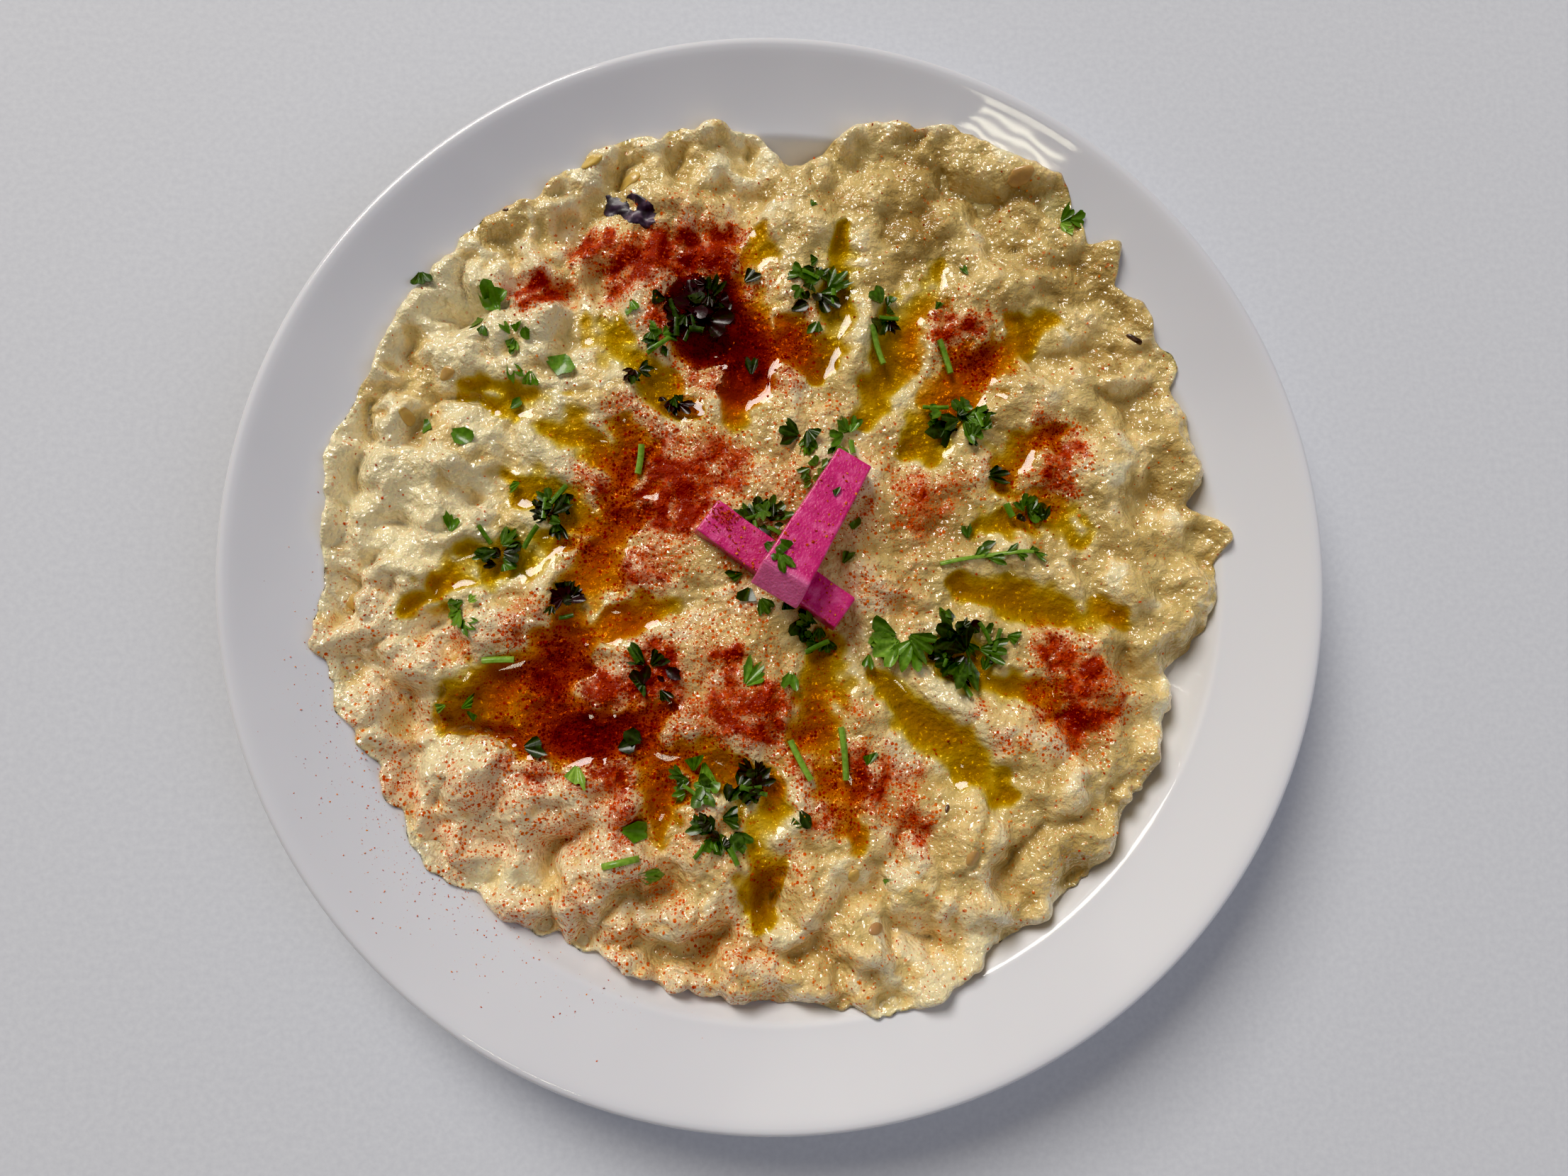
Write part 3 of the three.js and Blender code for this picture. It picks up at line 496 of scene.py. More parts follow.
axis = (np.arange(CELLS) - CELLS // 2) * CELL
grid_x, grid_y = np.meshgrid(axis, axis, indexing="ij")
grid_mash = mash_height(grid_x, grid_y)
near_furrow = furrow_share(grid_x, grid_y)[0]
near_furrow = near_furrow * (1 - smooth(OIL_REACH - 3, OIL_REACH, np.hypot(grid_x, grid_y)))
oily = near_furrow > 0.04
grid_oil = np.where(oily, np.maximum(grid_mash, OIL_LEVEL), grid_mash)
pull = (OIL_CREEP / CELL) ** 2
for _ in range(OIL_ROUNDS):
    around = (
        np.roll(grid_oil, 1, 0) + np.roll(grid_oil, -1, 0)
        + np.roll(grid_oil, 1, 1) + np.roll(grid_oil, -1, 1)
    )
    level = (OIL_LEVEL + pull * around) / (1 + 4 * pull)
    grid_oil = np.where(oily, np.maximum(grid_mash, level), grid_mash)


def sample(field, x, y):
    """Reads a field of the oil's grid at any points, by straight blending."""
    gx = np.clip(x / CELL + CELLS // 2, 0, CELLS - 1.001)
    gy = np.clip(y / CELL + CELLS // 2, 0, CELLS - 1.001)
    i, j = gx.astype(int), gy.astype(int)
    u, v = gx - i, gy - j
    low = field[i, j] * (1 - u) + field[i + 1, j] * u
    high = field[i, j + 1] * (1 - u) + field[i + 1, j + 1] * u
    return low * (1 - v) + high * v


def blurred(field, reach):
    """A field of the oil's grid, blurred over about `reach` mm."""
    steps = int(round(reach / CELL))
    for _ in range(2):
        for direction in (0, 1):
            total = np.cumsum(np.pad(field, [(steps + 1, steps)] * 2, mode="edge"), direction)
            ahead_of, behind = [slice(None)] * 2, [slice(None)] * 2
            ahead_of[direction] = slice(2 * steps + 1, None)
            behind[direction] = slice(0, -(2 * steps + 1))
            other = 1 - direction
            ahead_of[other] = behind[other] = slice(steps + 1, steps + 1 + CELLS)
            field = (total[tuple(ahead_of)] - total[tuple(behind)]) / (2 * steps + 1)
    return field


# Paprika: where it was shaken on, as centre, radius and share of the ground it hides.
PAPRIKA = [
    (-46, 74, 5, 0.8), (-35, 72, 6, 0.9), (-28, 72, 6, 0.9), (-18, 73, 8, 0.7),
    (-12, 77, 4, 0.5), (-58, 62, 5, 0.85), (-55, 64, 3, 0.8), (-61, 60, 3, 0.5),
    (-41, 65, 4, 0.6), (-20, 66, 10, 1.0), (-15, 58, 9, 1.0), (-23, 54, 8, 0.9),
    (-12, 50, 6, 0.9), (-18, 45, 6, 0.7), (-36, 33, 5, 0.5), (-30, 16, 10, 1.0),
    (-36, 13, 6, 1.0), (-25, 9, 5, 0.8), (-15, 22, 7, 0.6), (-31, 24, 6, 0.7),
    (43, 52, 7, 0.75), (47, 46, 6, 0.7), (38, 57, 4, 0.6), (62, 31, 4, 0.7),
    (65, 25, 5, 0.8), (64, 19, 4, 0.7), (30, 17, 5, 0.5), (33, 11, 5, 0.5),
    (40, 17, 4, 0.3), (60, -20, 4, 0.7), (66, -26, 6, 0.8), (68, -34, 8, 0.9),
    (62, -38, 4, 0.6), (76, -35, 3, 0.6), (17, -35, 3, 0.3), (49, -42, 3, 0.3),
    (54, -42, 2, 0.3), (45, -34.5, 2.5, 0.4), (17, -51, 7, 0.95), (5, -45, 6, 0.6),
    (28, -50, 4, 0.4), (-30, -24, 5, 0.9), (-13, -24, 3.5, 0.85), (-10, -36, 8, 0.8),
    (-3, -37, 6, 0.6), (-47, -32, 4, 0.6), (-65, -38, 4, 0.4), (-58, -44, 5, 0.6),
    (-55, -50, 3, 0.5), (-73, -22, 4, 0.3), (-58, -12, 4, 0.3), (-62, -18, 4, 0.3),
    (-43, -32, 8, 0.9), (-52, -26, 9, 0.9), (-40, -44, 9, 0.95), (-30, -36, 9, 0.9),
    (-48, -40, 8, 0.9), (-35, -5, 6, 0.8), (-45, 2, 6, 0.7), (-42, 18, 6, 0.6),
    (10, -58, 6, 0.6), (28, -60, 5, 0.6), (-25, -50, 7, 0.5), (-34, -60, 6, 0.4),
    (0, 47, 6, 0.8), (5, 55, 5, 0.5), (60, 12, 6, 0.4), (52, 20, 6, 0.4),
]


def paprika_share(x, y):
    """How much of the ground the paprika hides, 0..1."""
    wx = x + 2.8 * ripple(x, y, 7, 61) + 1.6 * ripple(x, y, 2.8, 62)
    wy = y + 2.8 * ripple(x, y, 7, 63) + 1.6 * ripple(x, y, 2.8, 64)
    bare = np.ones(np.shape(x))
    for px, py, radius, share in PAPRIKA:
        off = np.hypot(wx - px, wy - py) / radius
        halo = 0.14 * share * (1 - smooth(0.8, 2.6, off))
        bare = bare * (1 - share * (1 - smooth(0.4, 1.5, off))) * (1 - halo)
    bare = 1 - (1 - bare) * np.clip(0.88 + 0.55 * ripple(x, y, 3.6, 66), 0, 1)
    near_side = (1 - smooth(-75, -12, y + 0.3 * x)) * (1 - 0.75 * smooth(-12, 18, x))
    dusted = 0.03 + 0.2 * near_side + 0.19 * (1 - smooth(15, 52, np.hypot(x, y)))
    return 1 - bare * (1 - dusted * (0.7 + 0.9 * ripple(x, y, 9, 65)))


def put_attribute(body, name, values):
    """Stores one number for each of a mesh's points."""
    layer = body.data.attributes.new(name, "FLOAT", "POINT")
    layer.data.foreach_set("value", np.asarray(values, dtype=np.float32))


def put_points(body, x, y, z):
    """Moves a mesh's points to places in mm."""
    body.data.vertices.foreach_set("co", (np.stack([x, y, z], -1) * MM).astype(np.float32).ravel())
    body.data.update()


bpy.ops.object.select_all(action="DESELECT")
bpy.ops.mesh.primitive_grid_add(x_subdivisions=MASH_CELLS, y_subdivisions=MASH_CELLS, size=2)
mash = bpy.context.object
mash.name = "mash_spread"
square = np.empty(3 * len(mash.data.vertices), dtype=np.float32)
mash.data.vertices.foreach_get("co", square)
square = np.round(square.reshape(-1, 3).astype(float), 7)
mash_x, mash_y = wrap_to_outline(square[:, 0], square[:, 1], 0.01)
mash_z = np.where(
    np.hypot(mash_x, mash_y) < OIL_REACH + 2,
    sample(grid_mash, mash_x, mash_y), mash_height(mash_x, mash_y),
)
put_points(mash, mash_x, mash_y, mash_z)
oil_over = sample(grid_oil - grid_mash, mash_x, mash_y)
soaked = blurred(np.minimum(grid_oil - grid_mash, 1.0), SOAK_REACH)
put_attribute(mash, "wet", np.clip(3 * sample(soaked, mash_x, mash_y), 0, 1))
put_attribute(mash, "paprika", paprika_share(mash_x, mash_y))
# Painted shade: the colour is darkened in the relief's hollows and creases and lightened on its
# crests.
wide_hollow, narrow_hollow = (blurred(grid_mash, reach) - grid_mash for reach in HOLLOWS)
hollow = 0.6 * wide_hollow + narrow_hollow
put_attribute(mash, "hollow", np.clip(0.5 + sample(hollow, mash_x, mash_y), 0, 1))
# Each lump's own tone, painted lighter towards the window on the left and darker to the right as
# painted light, then changed in the listed patches.
chunk = flesh_lumps(mash_x, mash_y, 0.5)[1] - 0.0023 * mash_x - 0.001 * mash_y
for px, py, radius, darker in SOAKED:
    chunk = chunk - darker * (1 - smooth(0.3, 1.3, np.hypot(mash_x - px, mash_y - py) / radius))
put_attribute(mash, "chunk", chunk)

# The underside follows the plate, a little above its glaze.
bpy.ops.object.mode_set(mode="EDIT")
bpy.ops.mesh.select_mode(type="EDGE")
bpy.ops.mesh.select_all(action="DESELECT")
bpy.ops.mesh.select_non_manifold()
for drop, scale in UNDERSIDE_RINGS:
    bpy.ops.mesh.extrude_edges_move(TRANSFORM_OT_translate={"value": (0, 0, drop)})
    bpy.ops.transform.resize(value=(scale, scale, 1))
bpy.ops.mesh.edge_face_add()
bpy.ops.object.mode_set(mode="OBJECT")
corners = np.empty(3 * len(mash.data.vertices), dtype=np.float32)
mash.data.vertices.foreach_get("co", corners)
corners = corners.reshape(-1, 3)
below = np.arange(len(corners)) >= len(mash_x)
rest_on = plate_top(np.hypot(corners[:, 0], corners[:, 1]) / MM) + UNDERSIDE_GAP
corners[below, 2] = rest_on[below] * MM
mash.data.vertices.foreach_set("co", corners.ravel())
mash.data.update()
turn_faces_out()
bpy.ops.object.shade_smooth()

# Waxy mashed flesh with tahini, moist from its juice: cream, with paler and browner lumps and
# 9 mm clouds, wrinkled every 2 mm, under a wet film that sparkles. The oil darkens it.
# Paprika lies on it as specks of 0.4 and 0.9 mm and as clots, and stains it rusty.
# Its colour also carries painted shade in hollows, and painted light on crests and on the left
# side.
flesh, tree = new_material("mashed_aubergine_with_tahini")
place = add_node(tree, "TexCoord").outputs["Object"]
wet_share, spice_share, hollow_share, chunk_tone = (
    add_node(tree, "Attribute", attribute_name=name).outputs["Fac"]
    for name in ("wet", "paprika", "hollow", "chunk")
)
broad = add_node(tree, "TexNoise", {"Vector": place, "Scale": 110, "Detail": 4})
tone = add_node(tree, "Math", {0: broad, 1: 0.55, 2: 0.32}, operation="MULTIPLY_ADD")
# The lumps' tone carries painted light: lighter on the left, darker on the right, and in the
# listed patches.
tone = add_node(tree, "Math", {0: chunk_tone, 1: 0.7, 2: tone}, operation="MULTIPLY_ADD")
# Painted shade in the relief's hollows and painted light on its crests.
tone = add_node(tree, "Math", {0: hollow_share, 1: -0.24, 2: tone}, operation="MULTIPLY_ADD")
cream = add_node(tree, "ValToRGB", {"Fac": tone}, [
    (0.35, "#ab8b48"), (0.55, "#ccad66"), (0.72, "#e1c780"), (0.86, "#fadc98"), (1.0, "#ffeebe"),
])
soaking = add_node(tree, "Math", {0: wet_share, 1: 0.6}, operation="MULTIPLY")
oiled = add_node(tree, "Mix", {"Factor": soaking, "A": cream, "B": "#ecd68a"}, data_type="RGBA")
washed = add_node(tree, "Math", {0: wet_share, 1: -0.5, 2: 1.0}, operation="MULTIPLY_ADD")
lying = add_node(tree, "Math", {0: spice_share, 1: washed}, operation="MULTIPLY")
SPECK_RADIUS = 0.55  # as a share of the specks' spacing


def speckled(per_metre, radius):
    """Round specks whose number grows with the paprika: cover, and a tone for each speck."""
    specks = add_node(tree, "TexVoronoi", {"Vector": place, "Scale": per_metre})
    chance = add_node(tree, "SeparateColor", {"Color": specks.outputs["Color"]})
    there = add_node(tree, "Math", {0: lying, 1: chance.outputs["Red"]}, operation="SUBTRACT")
    there = add_node(tree, "MapRange", {"Value": there, "From Min": -0.02, "From Max": 0.06})
    disc = add_node(tree, "MapRange", {
        "Value": specks.outputs["Distance"], "From Min": radius, "From Max": 0.75 * radius,
    })
    cover = add_node(tree, "Math", {0: there, 1: disc}, operation="MULTIPLY")
    return cover, chance.outputs["Green"]


coarse_specks, speck_tone = speckled(1150, SPECK_RADIUS)
fine_specks, _ = speckled(2600, SPECK_RADIUS)
clots = add_node(tree, "TexNoise", {"Vector": place, "Scale": 420, "Detail": 3})
heaped = add_node(tree, "Math", {0: clots, 1: lying}, operation="ADD")
heaped = add_node(tree, "MapRange", {
    "Value": heaped, "From Min": 0.92, "From Max": 1.24, "To Max": 0.95,
})
dusted = add_node(tree, "Math", {0: coarse_specks, 1: fine_specks}, operation="MAXIMUM")
dusted = add_node(tree, "Math", {0: dusted, 1: heaped}, operation="MAXIMUM")
speck_reach = add_node(tree, "Math", {
    0: speck_tone, 1: 0.45, 2: spice_share,
}, operation="MULTIPLY_ADD")
spice_tone = add_node(tree, "ValToRGB", {"Fac": speck_reach}, [
    (0.2, "#e0701a"), (0.5, "#dc5208"), (0.8, "#bc3404"), (1.0, "#901c04"),
])
stain = add_node(tree, "Math", {0: lying, 1: 1.3}, operation="POWER")
stain = add_node(tree, "Math", {0: stain, 1: 1.4}, operation="MULTIPLY", use_clamp=True)
stained = add_node(tree, "Mix", {"Factor": stain, "A": oiled, "B": "#cc5c1c"}, data_type="RGBA")
coloured = add_node(tree, "Mix", {
    "Factor": dusted, "A": stained, "B": spice_tone,
}, data_type="RGBA")
wrinkles = add_node(tree, "TexNoise", {"Vector": place, "Scale": 560, "Detail": 3})
relief = add_node(tree, "Bump", {"Height": wrinkles, "Strength": 0.9, "Distance": 0.0014})
moisture = add_node(tree, "TexNoise", {"Vector": place, "Scale": 560, "Detail": 1})
wet_relief = add_node(tree, "Bump", {"Height": moisture, "Strength": 1.0, "Distance": 0.002})
dull = add_node(tree, "MapRange", {"Value": dusted, "To Min": 0.36, "To Max": 0.65})
shiny = add_node(tree, "MapRange", {"Value": dusted, "To Min": 1.0, "To Max": 0.05})
surface = add_node(tree, "BsdfPrincipled", {
    "Base Color": coloured, "Roughness": dull, "Specular IOR Level": 0.12, "Coat Weight": shiny,
    "Coat Roughness": 0.08, "Coat IOR": 1.8, "Normal": relief, "Coat Normal": wet_relief,
    "Subsurface Weight": 0.3, "Subsurface Radius": (1.0, 0.6, 0.3), "Subsurface Scale": 0.0009,
})
add_node(tree, "OutputMaterial", {"Surface": surface})
mash.data.materials.append(flesh)
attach(mash, "root")
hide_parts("mash")

# ---- Oil ----
# Olive oil poured over the mash, which stands in the furrows as clear pools with curved
# edges. It is yellow and dark where deep, and orange to wine red over soaked paprika.
POOL_NAMES = [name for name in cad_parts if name.startswith("oil_")]
SPICED_OIL = [  # centre, radius and how much paprika hangs in the oil
    (-47, -26, 24, 0.6), (-38, -38, 13, 0.68), (-44, -43, 9, 0.86), (-27, 8, 15, 0.5),
    (-44, -5, 12, 0.52), (-20, 60, 15, 1.0), (-13, 46, 15, 0.96), (-3, 52, 9, 0.84),
    (43, 48, 18, 0.6), (62, 20, 9, 0.5), (63, -32, 10, 0.65), (12, -57, 12, 0.5),
    (-26, -51, 12, 0.46), (-4, -48, 9, 0.45), (-38, 22, 8, 0.42), (9, -36, 9, 0.42),
]
THINNEST_FILM = 0.015
POOL_BODY = 0.45  # how far the piece reaches down into the mash
SKIRT_DROP = 0.02  # its edge dips into the mash, so that it ends in a clean line

side = MASH_CELLS + 1
film = oil_over.reshape(side, side)
shown = film > THINNEST_FILM
skirt = shown.copy()
dip = np.where(shown, 0, 9)
for step in (1, 2, 3):
    wider = skirt.copy()
    for direction in (0, 1):
        for shift in (1, -1):
            wider |= np.roll(skirt, shift, direction)
    dip[wider & ~skirt] = step
    skirt = wider
square_faces = (
    skirt[:-1, :-1] & skirt[1:, :-1] & skirt[:-1, 1:] & skirt[1:, 1:]
    & (shown[:-1, :-1] | shown[1:, :-1] | shown[:-1, 1:] | shown[1:, 1:]
       | (dip[:-1, :-1] < 3) | (dip[1:, 1:] < 3))
)
number = np.arange(side * side).reshape(side, side)
quads = np.stack([
    corner[square_faces]
    for corner in (number[:-1, :-1], number[:-1, 1:], number[1:, 1:], number[1:, :-1])
], -1)
used, renumbered = np.unique(quads, return_inverse=True)
renumbered = renumbered.reshape(-1, 4)
under_mash = dip.ravel()[used]
oil_z = mash_z[used] + np.maximum(film.ravel()[used], 0) - SKIRT_DROP * under_mash ** 2
upper = np.stack([mash_x[used], mash_y[used], oil_z], -1)
lower = np.stack([mash_x[used], mash_y[used], mash_z[used] - POOL_BODY], -1)
count = len(used)
edges = np.concatenate([
    np.stack([renumbered[:, k], renumbered[:, (k + 1) % 4]], -1) for k in range(4)
])
both_ways = edges[:, 0] * count + edges[:, 1]
inner = np.isin(both_ways, edges[:, 1] * count + edges[:, 0])
rim = edges[~inner]
walls = np.stack([rim[:, 1], rim[:, 0], rim[:, 0] + count, rim[:, 1] + count], -1)
faces = np.concatenate([renumbered, renumbered[:, ::-1] + count, walls])


def closed_body(name, points, faces):
    """A closed mesh of points in mm, as the only selected object, its faces outwards."""
    mesh = bpy.data.meshes.new(name)
    mesh.from_pydata((np.concatenate(points) * MM).tolist(), [], faces)
    body = bpy.data.objects.new(name, mesh)
    bpy.context.collection.objects.link(body)
    bpy.ops.object.select_all(action="DESELECT")
    bpy.context.view_layer.objects.active = body
    body.select_set(True)
    turn_faces_out()
    return body


oil = closed_body("oil_pools", [upper, lower], faces.tolist())
bpy.ops.object.shade_smooth()
put_attribute(oil, "depth", np.tile(film.ravel()[used], 2))
spice_in_oil = blurred(paprika_share(grid_x, grid_y), 2.0)
spice_in_oil = np.maximum(spice_in_oil, 0.14 + 0.16 * ripple(grid_x, grid_y, 16, 69))
for px, py, radius, level in SPICED_OIL:
    wander = np.hypot(grid_x - px + 3 * ripple(grid_x, grid_y, 11, 68), grid_y - py) / radius
    spice_in_oil = np.maximum(spice_in_oil, level * (1 - smooth(0.5, 1.25, wander)))
put_attribute(oil, "paprika", np.tile(sample(spice_in_oil, mash_x[used], mash_y[used]), 2))

# Pressed olive oil, clear and still: the mash shows through it, tinted yellow by its depth and
# orange to wine red by paprika, and its surface mirrors the window. The colours are those of
# the light that passes through once.
olive_oil, tree = new_material("olive_oil")
DEEPEST = 3.0
depth, spice = (
    add_node(tree, "Attribute", attribute_name=name).outputs["Fac"]
    for name in ("depth", "paprika")
)
share = add_node(tree, "Math", {0: depth, 1: DEEPEST}, operation="DIVIDE")
clean = add_node(tree, "ValToRGB", {"Fac": share}, [
    (0, "#ffffff"), (0.05, "#f9f6d1"), (0.14, "#efe286"), (0.35, "#dac430"), (0.7, "#cbb012"),
    (1, "#bc9f0a"),
])
spiced = add_node(tree, "ValToRGB", {"Fac": share}, [
    (0, "#ffffff"), (0.05, "#f8e3aa"), (0.14, "#f0cb6c"), (0.35, "#dda435"), (0.7, "#d08e27"),
    (1, "#c27c21"),
])
soaked_red = add_node(tree, "ValToRGB", {"Fac": share}, [
    (0, "#ffffff"), (0.05, "#f3c890"), (0.14, "#eaaa59"), (0.35, "#d78e30"), (0.7, "#c77329"),
    (1, "#b55927"),
])
orange = add_node(tree, "MapRange", {"Value": spice, "From Min": 0.12, "From Max": 0.5})
deep_red = add_node(tree, "MapRange", {"Value": spice, "From Min": 0.55, "From Max": 0.85})
wine = add_node(tree, "MapRange", {"Value": spice, "From Min": 0.85, "From Max": 1.0})
body_tint = add_node(tree, "Mix", {"Factor": orange, "A": clean, "B": spiced}, data_type="RGBA")
body_tint = add_node(tree, "Mix", {
    "Factor": deep_red, "A": body_tint, "B": soaked_red,
}, data_type="RGBA")
body_tint = add_node(tree, "Mix", {
    "Factor": wine, "A": body_tint, "B": "#aa5555",
}, data_type="RGBA")
through = add_node(tree, "BsdfTransparent", {"Color": body_tint})
shine = add_node(tree, "BsdfGlossy", {"Roughness": 0.03})
facing = add_node(tree, "LayerWeight", {"Blend": 0.5})
glance = add_node(tree, "Math", {0: facing.outputs["Facing"], 1: 5}, operation="POWER")
glance = add_node(tree, "Math", {0: glance, 1: 0.94, 2: 0.055}, operation="MULTIPLY_ADD")
mixed = add_node(tree, "MixShader", {0: glance, 1: through, 2: shine})
add_node(tree, "OutputMaterial", {"Surface": mixed})
oil.data.materials.append(olive_oil)
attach(oil, "root")
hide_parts(*POOL_NAMES)

# ---- Pickled turnip ----
# Two batons of turnip, pickled with beetroot until they are bright pink all through. They
# are cut by hand, wet and a little translucent, with paler fibres along them.
BATONS = [  # name, middle of the underside, heading, tilt, length, end widths, thickness, slant
    ("turnip_lower", (-2.4, -2.5, 15.5), -35.4, 0, 39, (9, 8.6), 6.2, 0.8),
    ("turnip_upper", (6.5, 6.5, 20.6), 59.7, -10.5, 35, (12, 9.2), 6.2, 4.5),
]
BATON_ROUNDING = 0.5
BATON_PINCH = (-14, 8)  # where a pinch of paprika fell on the lower baton
PINCH_REACH = 2.4


def read_points(body):
    """A mesh's points as an array of mm."""
    points = np.empty(3 * len(body.data.vertices), dtype=np.float32)
    body.data.vertices.foreach_get("co", points)
    return points.reshape(-1, 3).astype(float) / MM


def put_vectors(body, name, values):
    """Stores one vector for each of a mesh's points."""
    layer = body.data.attributes.new(name, "FLOAT_VECTOR", "POINT")
    layer.data.foreach_set("vector", np.asarray(values, dtype=np.float32).ravel())


# Turnip soaked in beetroot brine and cut with a knife: translucent magenta with paler fibres,
# 8 mm long and 1 mm wide, and 3 mm clouds, wet and glossy.
# The sloped cut end of the upper baton is painted paler pink, as painted light.
pickle_flesh, tree = new_material("beetroot_pickled_turnip")
cut_place = add_node(tree, "Attribute", attribute_name="cut").outputs["Vector"]
stretched = add_node(tree, "Mapping", {"Vector": cut_place, "Scale": (0.12, 0.9, 0.9)})
fibre = add_node(tree, "TexNoise", {"Vector": stretched, "Scale": 1, "Detail": 4})
cloud = add_node(tree, "TexNoise", {"Vector": cut_place, "Scale": 0.3, "Detail": 4})
streak = add_node(tree, "Mix", {"Factor": 0.75, "A": fibre, "B": cloud})
tint = add_node(tree, "ValToRGB", {"Fac": streak}, [
    (0.36, "#ca1c70"), (0.5, "#dc2880"), (0.66, "#ee60a2"),
])
# Painted light: the sloped cut end, which faces away from the window, is painted pale pink as if
# lit.
cut_end = add_node(tree, "Attribute", attribute_name="cut_end").outputs["Fac"]
paled = add_node(tree, "Mix", {"Factor": cut_end, "A": tint, "B": "#ffa6d8"}, data_type="RGBA")
pinch = add_node(tree, "Attribute", attribute_name="pinch").outputs["Fac"]
pinch_edge = add_node(tree, "TexNoise", {"Vector": cut_place, "Scale": 1.1, "Detail": 4})
pinch = add_node(tree, "Math", {0: pinch, 1: pinch_edge}, operation="ADD")
pinch = add_node(tree, "MapRange", {
    "Value": pinch, "From Min": 0.9, "From Max": 1.25, "To Max": 0.85,
})
dusted = add_node(tree, "Mix", {"Factor": pinch, "A": paled, "B": "#d2163c"}, data_type="RGBA")
grain = add_node(tree, "TexNoise", {"Vector": cut_place, "Scale": 1.6, "Detail": 3})
relief = add_node(tree, "Bump", {"Height": grain, "Strength": 0.7, "Distance": 0.0004})
surface = add_node(tree, "BsdfPrincipled", {
    "Base Color": dusted, "Roughness": 0.36, "Normal": relief, "Coat Weight": 0.5,
    "Coat Roughness": 0.12, "Subsurface Weight": 0.35, "Subsurface Radius": (1.0, 0.25, 0.5),
    "Subsurface Scale": 0.0015,
})
add_node(tree, "OutputMaterial", {"Surface": surface})

for name, middle, heading, tilt, length, widths, thickness, slant in BATONS:
    bpy.ops.object.select_all(action="DESELECT")
    bpy.ops.mesh.primitive_cube_add(size=1)
    baton = bpy.context.object
    baton.name = name + "_baton"
    bpy.ops.object.mode_set(mode="EDIT")
    bpy.ops.mesh.select_all(action="SELECT")
    bpy.ops.mesh.subdivide(number_cuts=27)
    bpy.ops.object.mode_set(mode="OBJECT")
    unit = 0.5 * np.sin(np.pi * np.round(read_points(baton) * MM, 6))
    size = np.array([length, sum(widths) / 2, thickness])
    solid = unit * size
    inner = np.clip(solid, BATON_ROUNDING - size / 2, size / 2 - BATON_ROUNDING)
    out = solid - inner
    solid = inner + BATON_ROUNDING * out / np.linalg.norm(out, axis=1)[:, None]
    along, across, up = (solid / size + [0, 0, 0.5]).T
    near = -length / 2 + slant * (up - 0.5)
    far = length / 2 - 0.4 * up
    cut_x = near + (far - near) * (along + 0.5)
    width = widths[0] + (widths[1] - widths[0]) * (along + 0.5)
    cut_y = across * width * (1 - 0.05 * up)
    cut_z = up * thickness
    waver = 0.16 * ripple(cut_x, cut_z * 3 + cut_y, 9, 91) + 0.07 * ripple(cut_x, cut_y, 2.5, 92)
    cut_y = cut_y + waver * np.sign(across) * (np.abs(across) > 0.45) * (np.abs(along) < 0.49)
    cut_z = cut_z - (0.12 + 0.12 * ripple(cut_x, cut_y, 6, 93)) * (up > 0.9)
    put_vectors(baton, "cut", np.stack([cut_x, cut_y, cut_z], -1))
    place_it = (
        Matrix.Translation(middle)
        @ Matrix.Rotation(math.radians(heading), 4, "Z")
        @ Matrix.Rotation(-math.radians(tilt), 4, "Y")
    )
    turned_to = np.array(place_it)
    lying_at = np.stack([cut_x, cut_y, cut_z], -1) @ turned_to[:3, :3].T + turned_to[:3, 3]
    put_points(baton, *lying_at.T)
    # Painted light: where the paler colour goes on the sloped cut end, which faces away from the
    # window.
    sloped_end = np.clip(1 - (along + 0.5) * length / 1.5, 0, 1) * (slant > 1)
    put_attribute(baton, "cut_end", 0.35 * sloped_end)
    off_pinch = np.hypot(*(lying_at[:, :2] - BATON_PINCH).T)
    put_attribute(baton, "pinch", np.exp(-(off_pinch / PINCH_REACH) ** 2))
    bpy.ops.object.shade_smooth_by_angle(angle=math.radians(50))
    baton.data.materials.append(pickle_flesh)
    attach(baton, "root")
    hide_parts(name)

# ---- Charred skin ----
# A flake of aubergine skin from the grill: thin, creased, almost black purple and shiny
# where the juice has dried on it.
SKIN_MIDDLE = (-37, 83.5)
SKIN_HEADING = math.radians(-25)
SKIN_SIZE = (14.5, 6.5)
SKIN_THICKNESS = 0.9
SKIN_SUNK = 0.58

bpy.ops.object.select_all(action="DESELECT")
bpy.ops.mesh.primitive_uv_sphere_add(segments=40, ring_count=20, radius=0.5)
skin = bpy.context.object
skin.name = "skin_flake"
flat_x, flat_y, up = (read_points(skin) * MM).T
ragged = 1 + 0.25 * ripple(flat_x, flat_y, 0.28, 95)
local_x, local_y = flat_x * SKIN_SIZE[0] * ragged, flat_y * SKIN_SIZE[1] * ragged


def laid(x, y, turn, along, across):
    """Where points of a piece that heads `turn` radians lie on the plate."""
    return (x + along * math.cos(turn) - across * math.sin(turn),
            y + along * math.sin(turn) + across * math.cos(turn))


skin_x, skin_y = laid(*SKIN_MIDDLE, SKIN_HEADING, local_x, local_y)
crease = 0.7 * ripple(skin_x, skin_y, 3.2, 96) + 0.25 * ripple(skin_x, skin_y, 1.2, 97)
skin_z = sample(grid_oil, skin_x, skin_y) - SKIN_SUNK + SKIN_THICKNESS * (up + 0.5) + crease
put_points(skin, skin_x, skin_y, skin_z)
bpy.ops.object.shade_smooth()
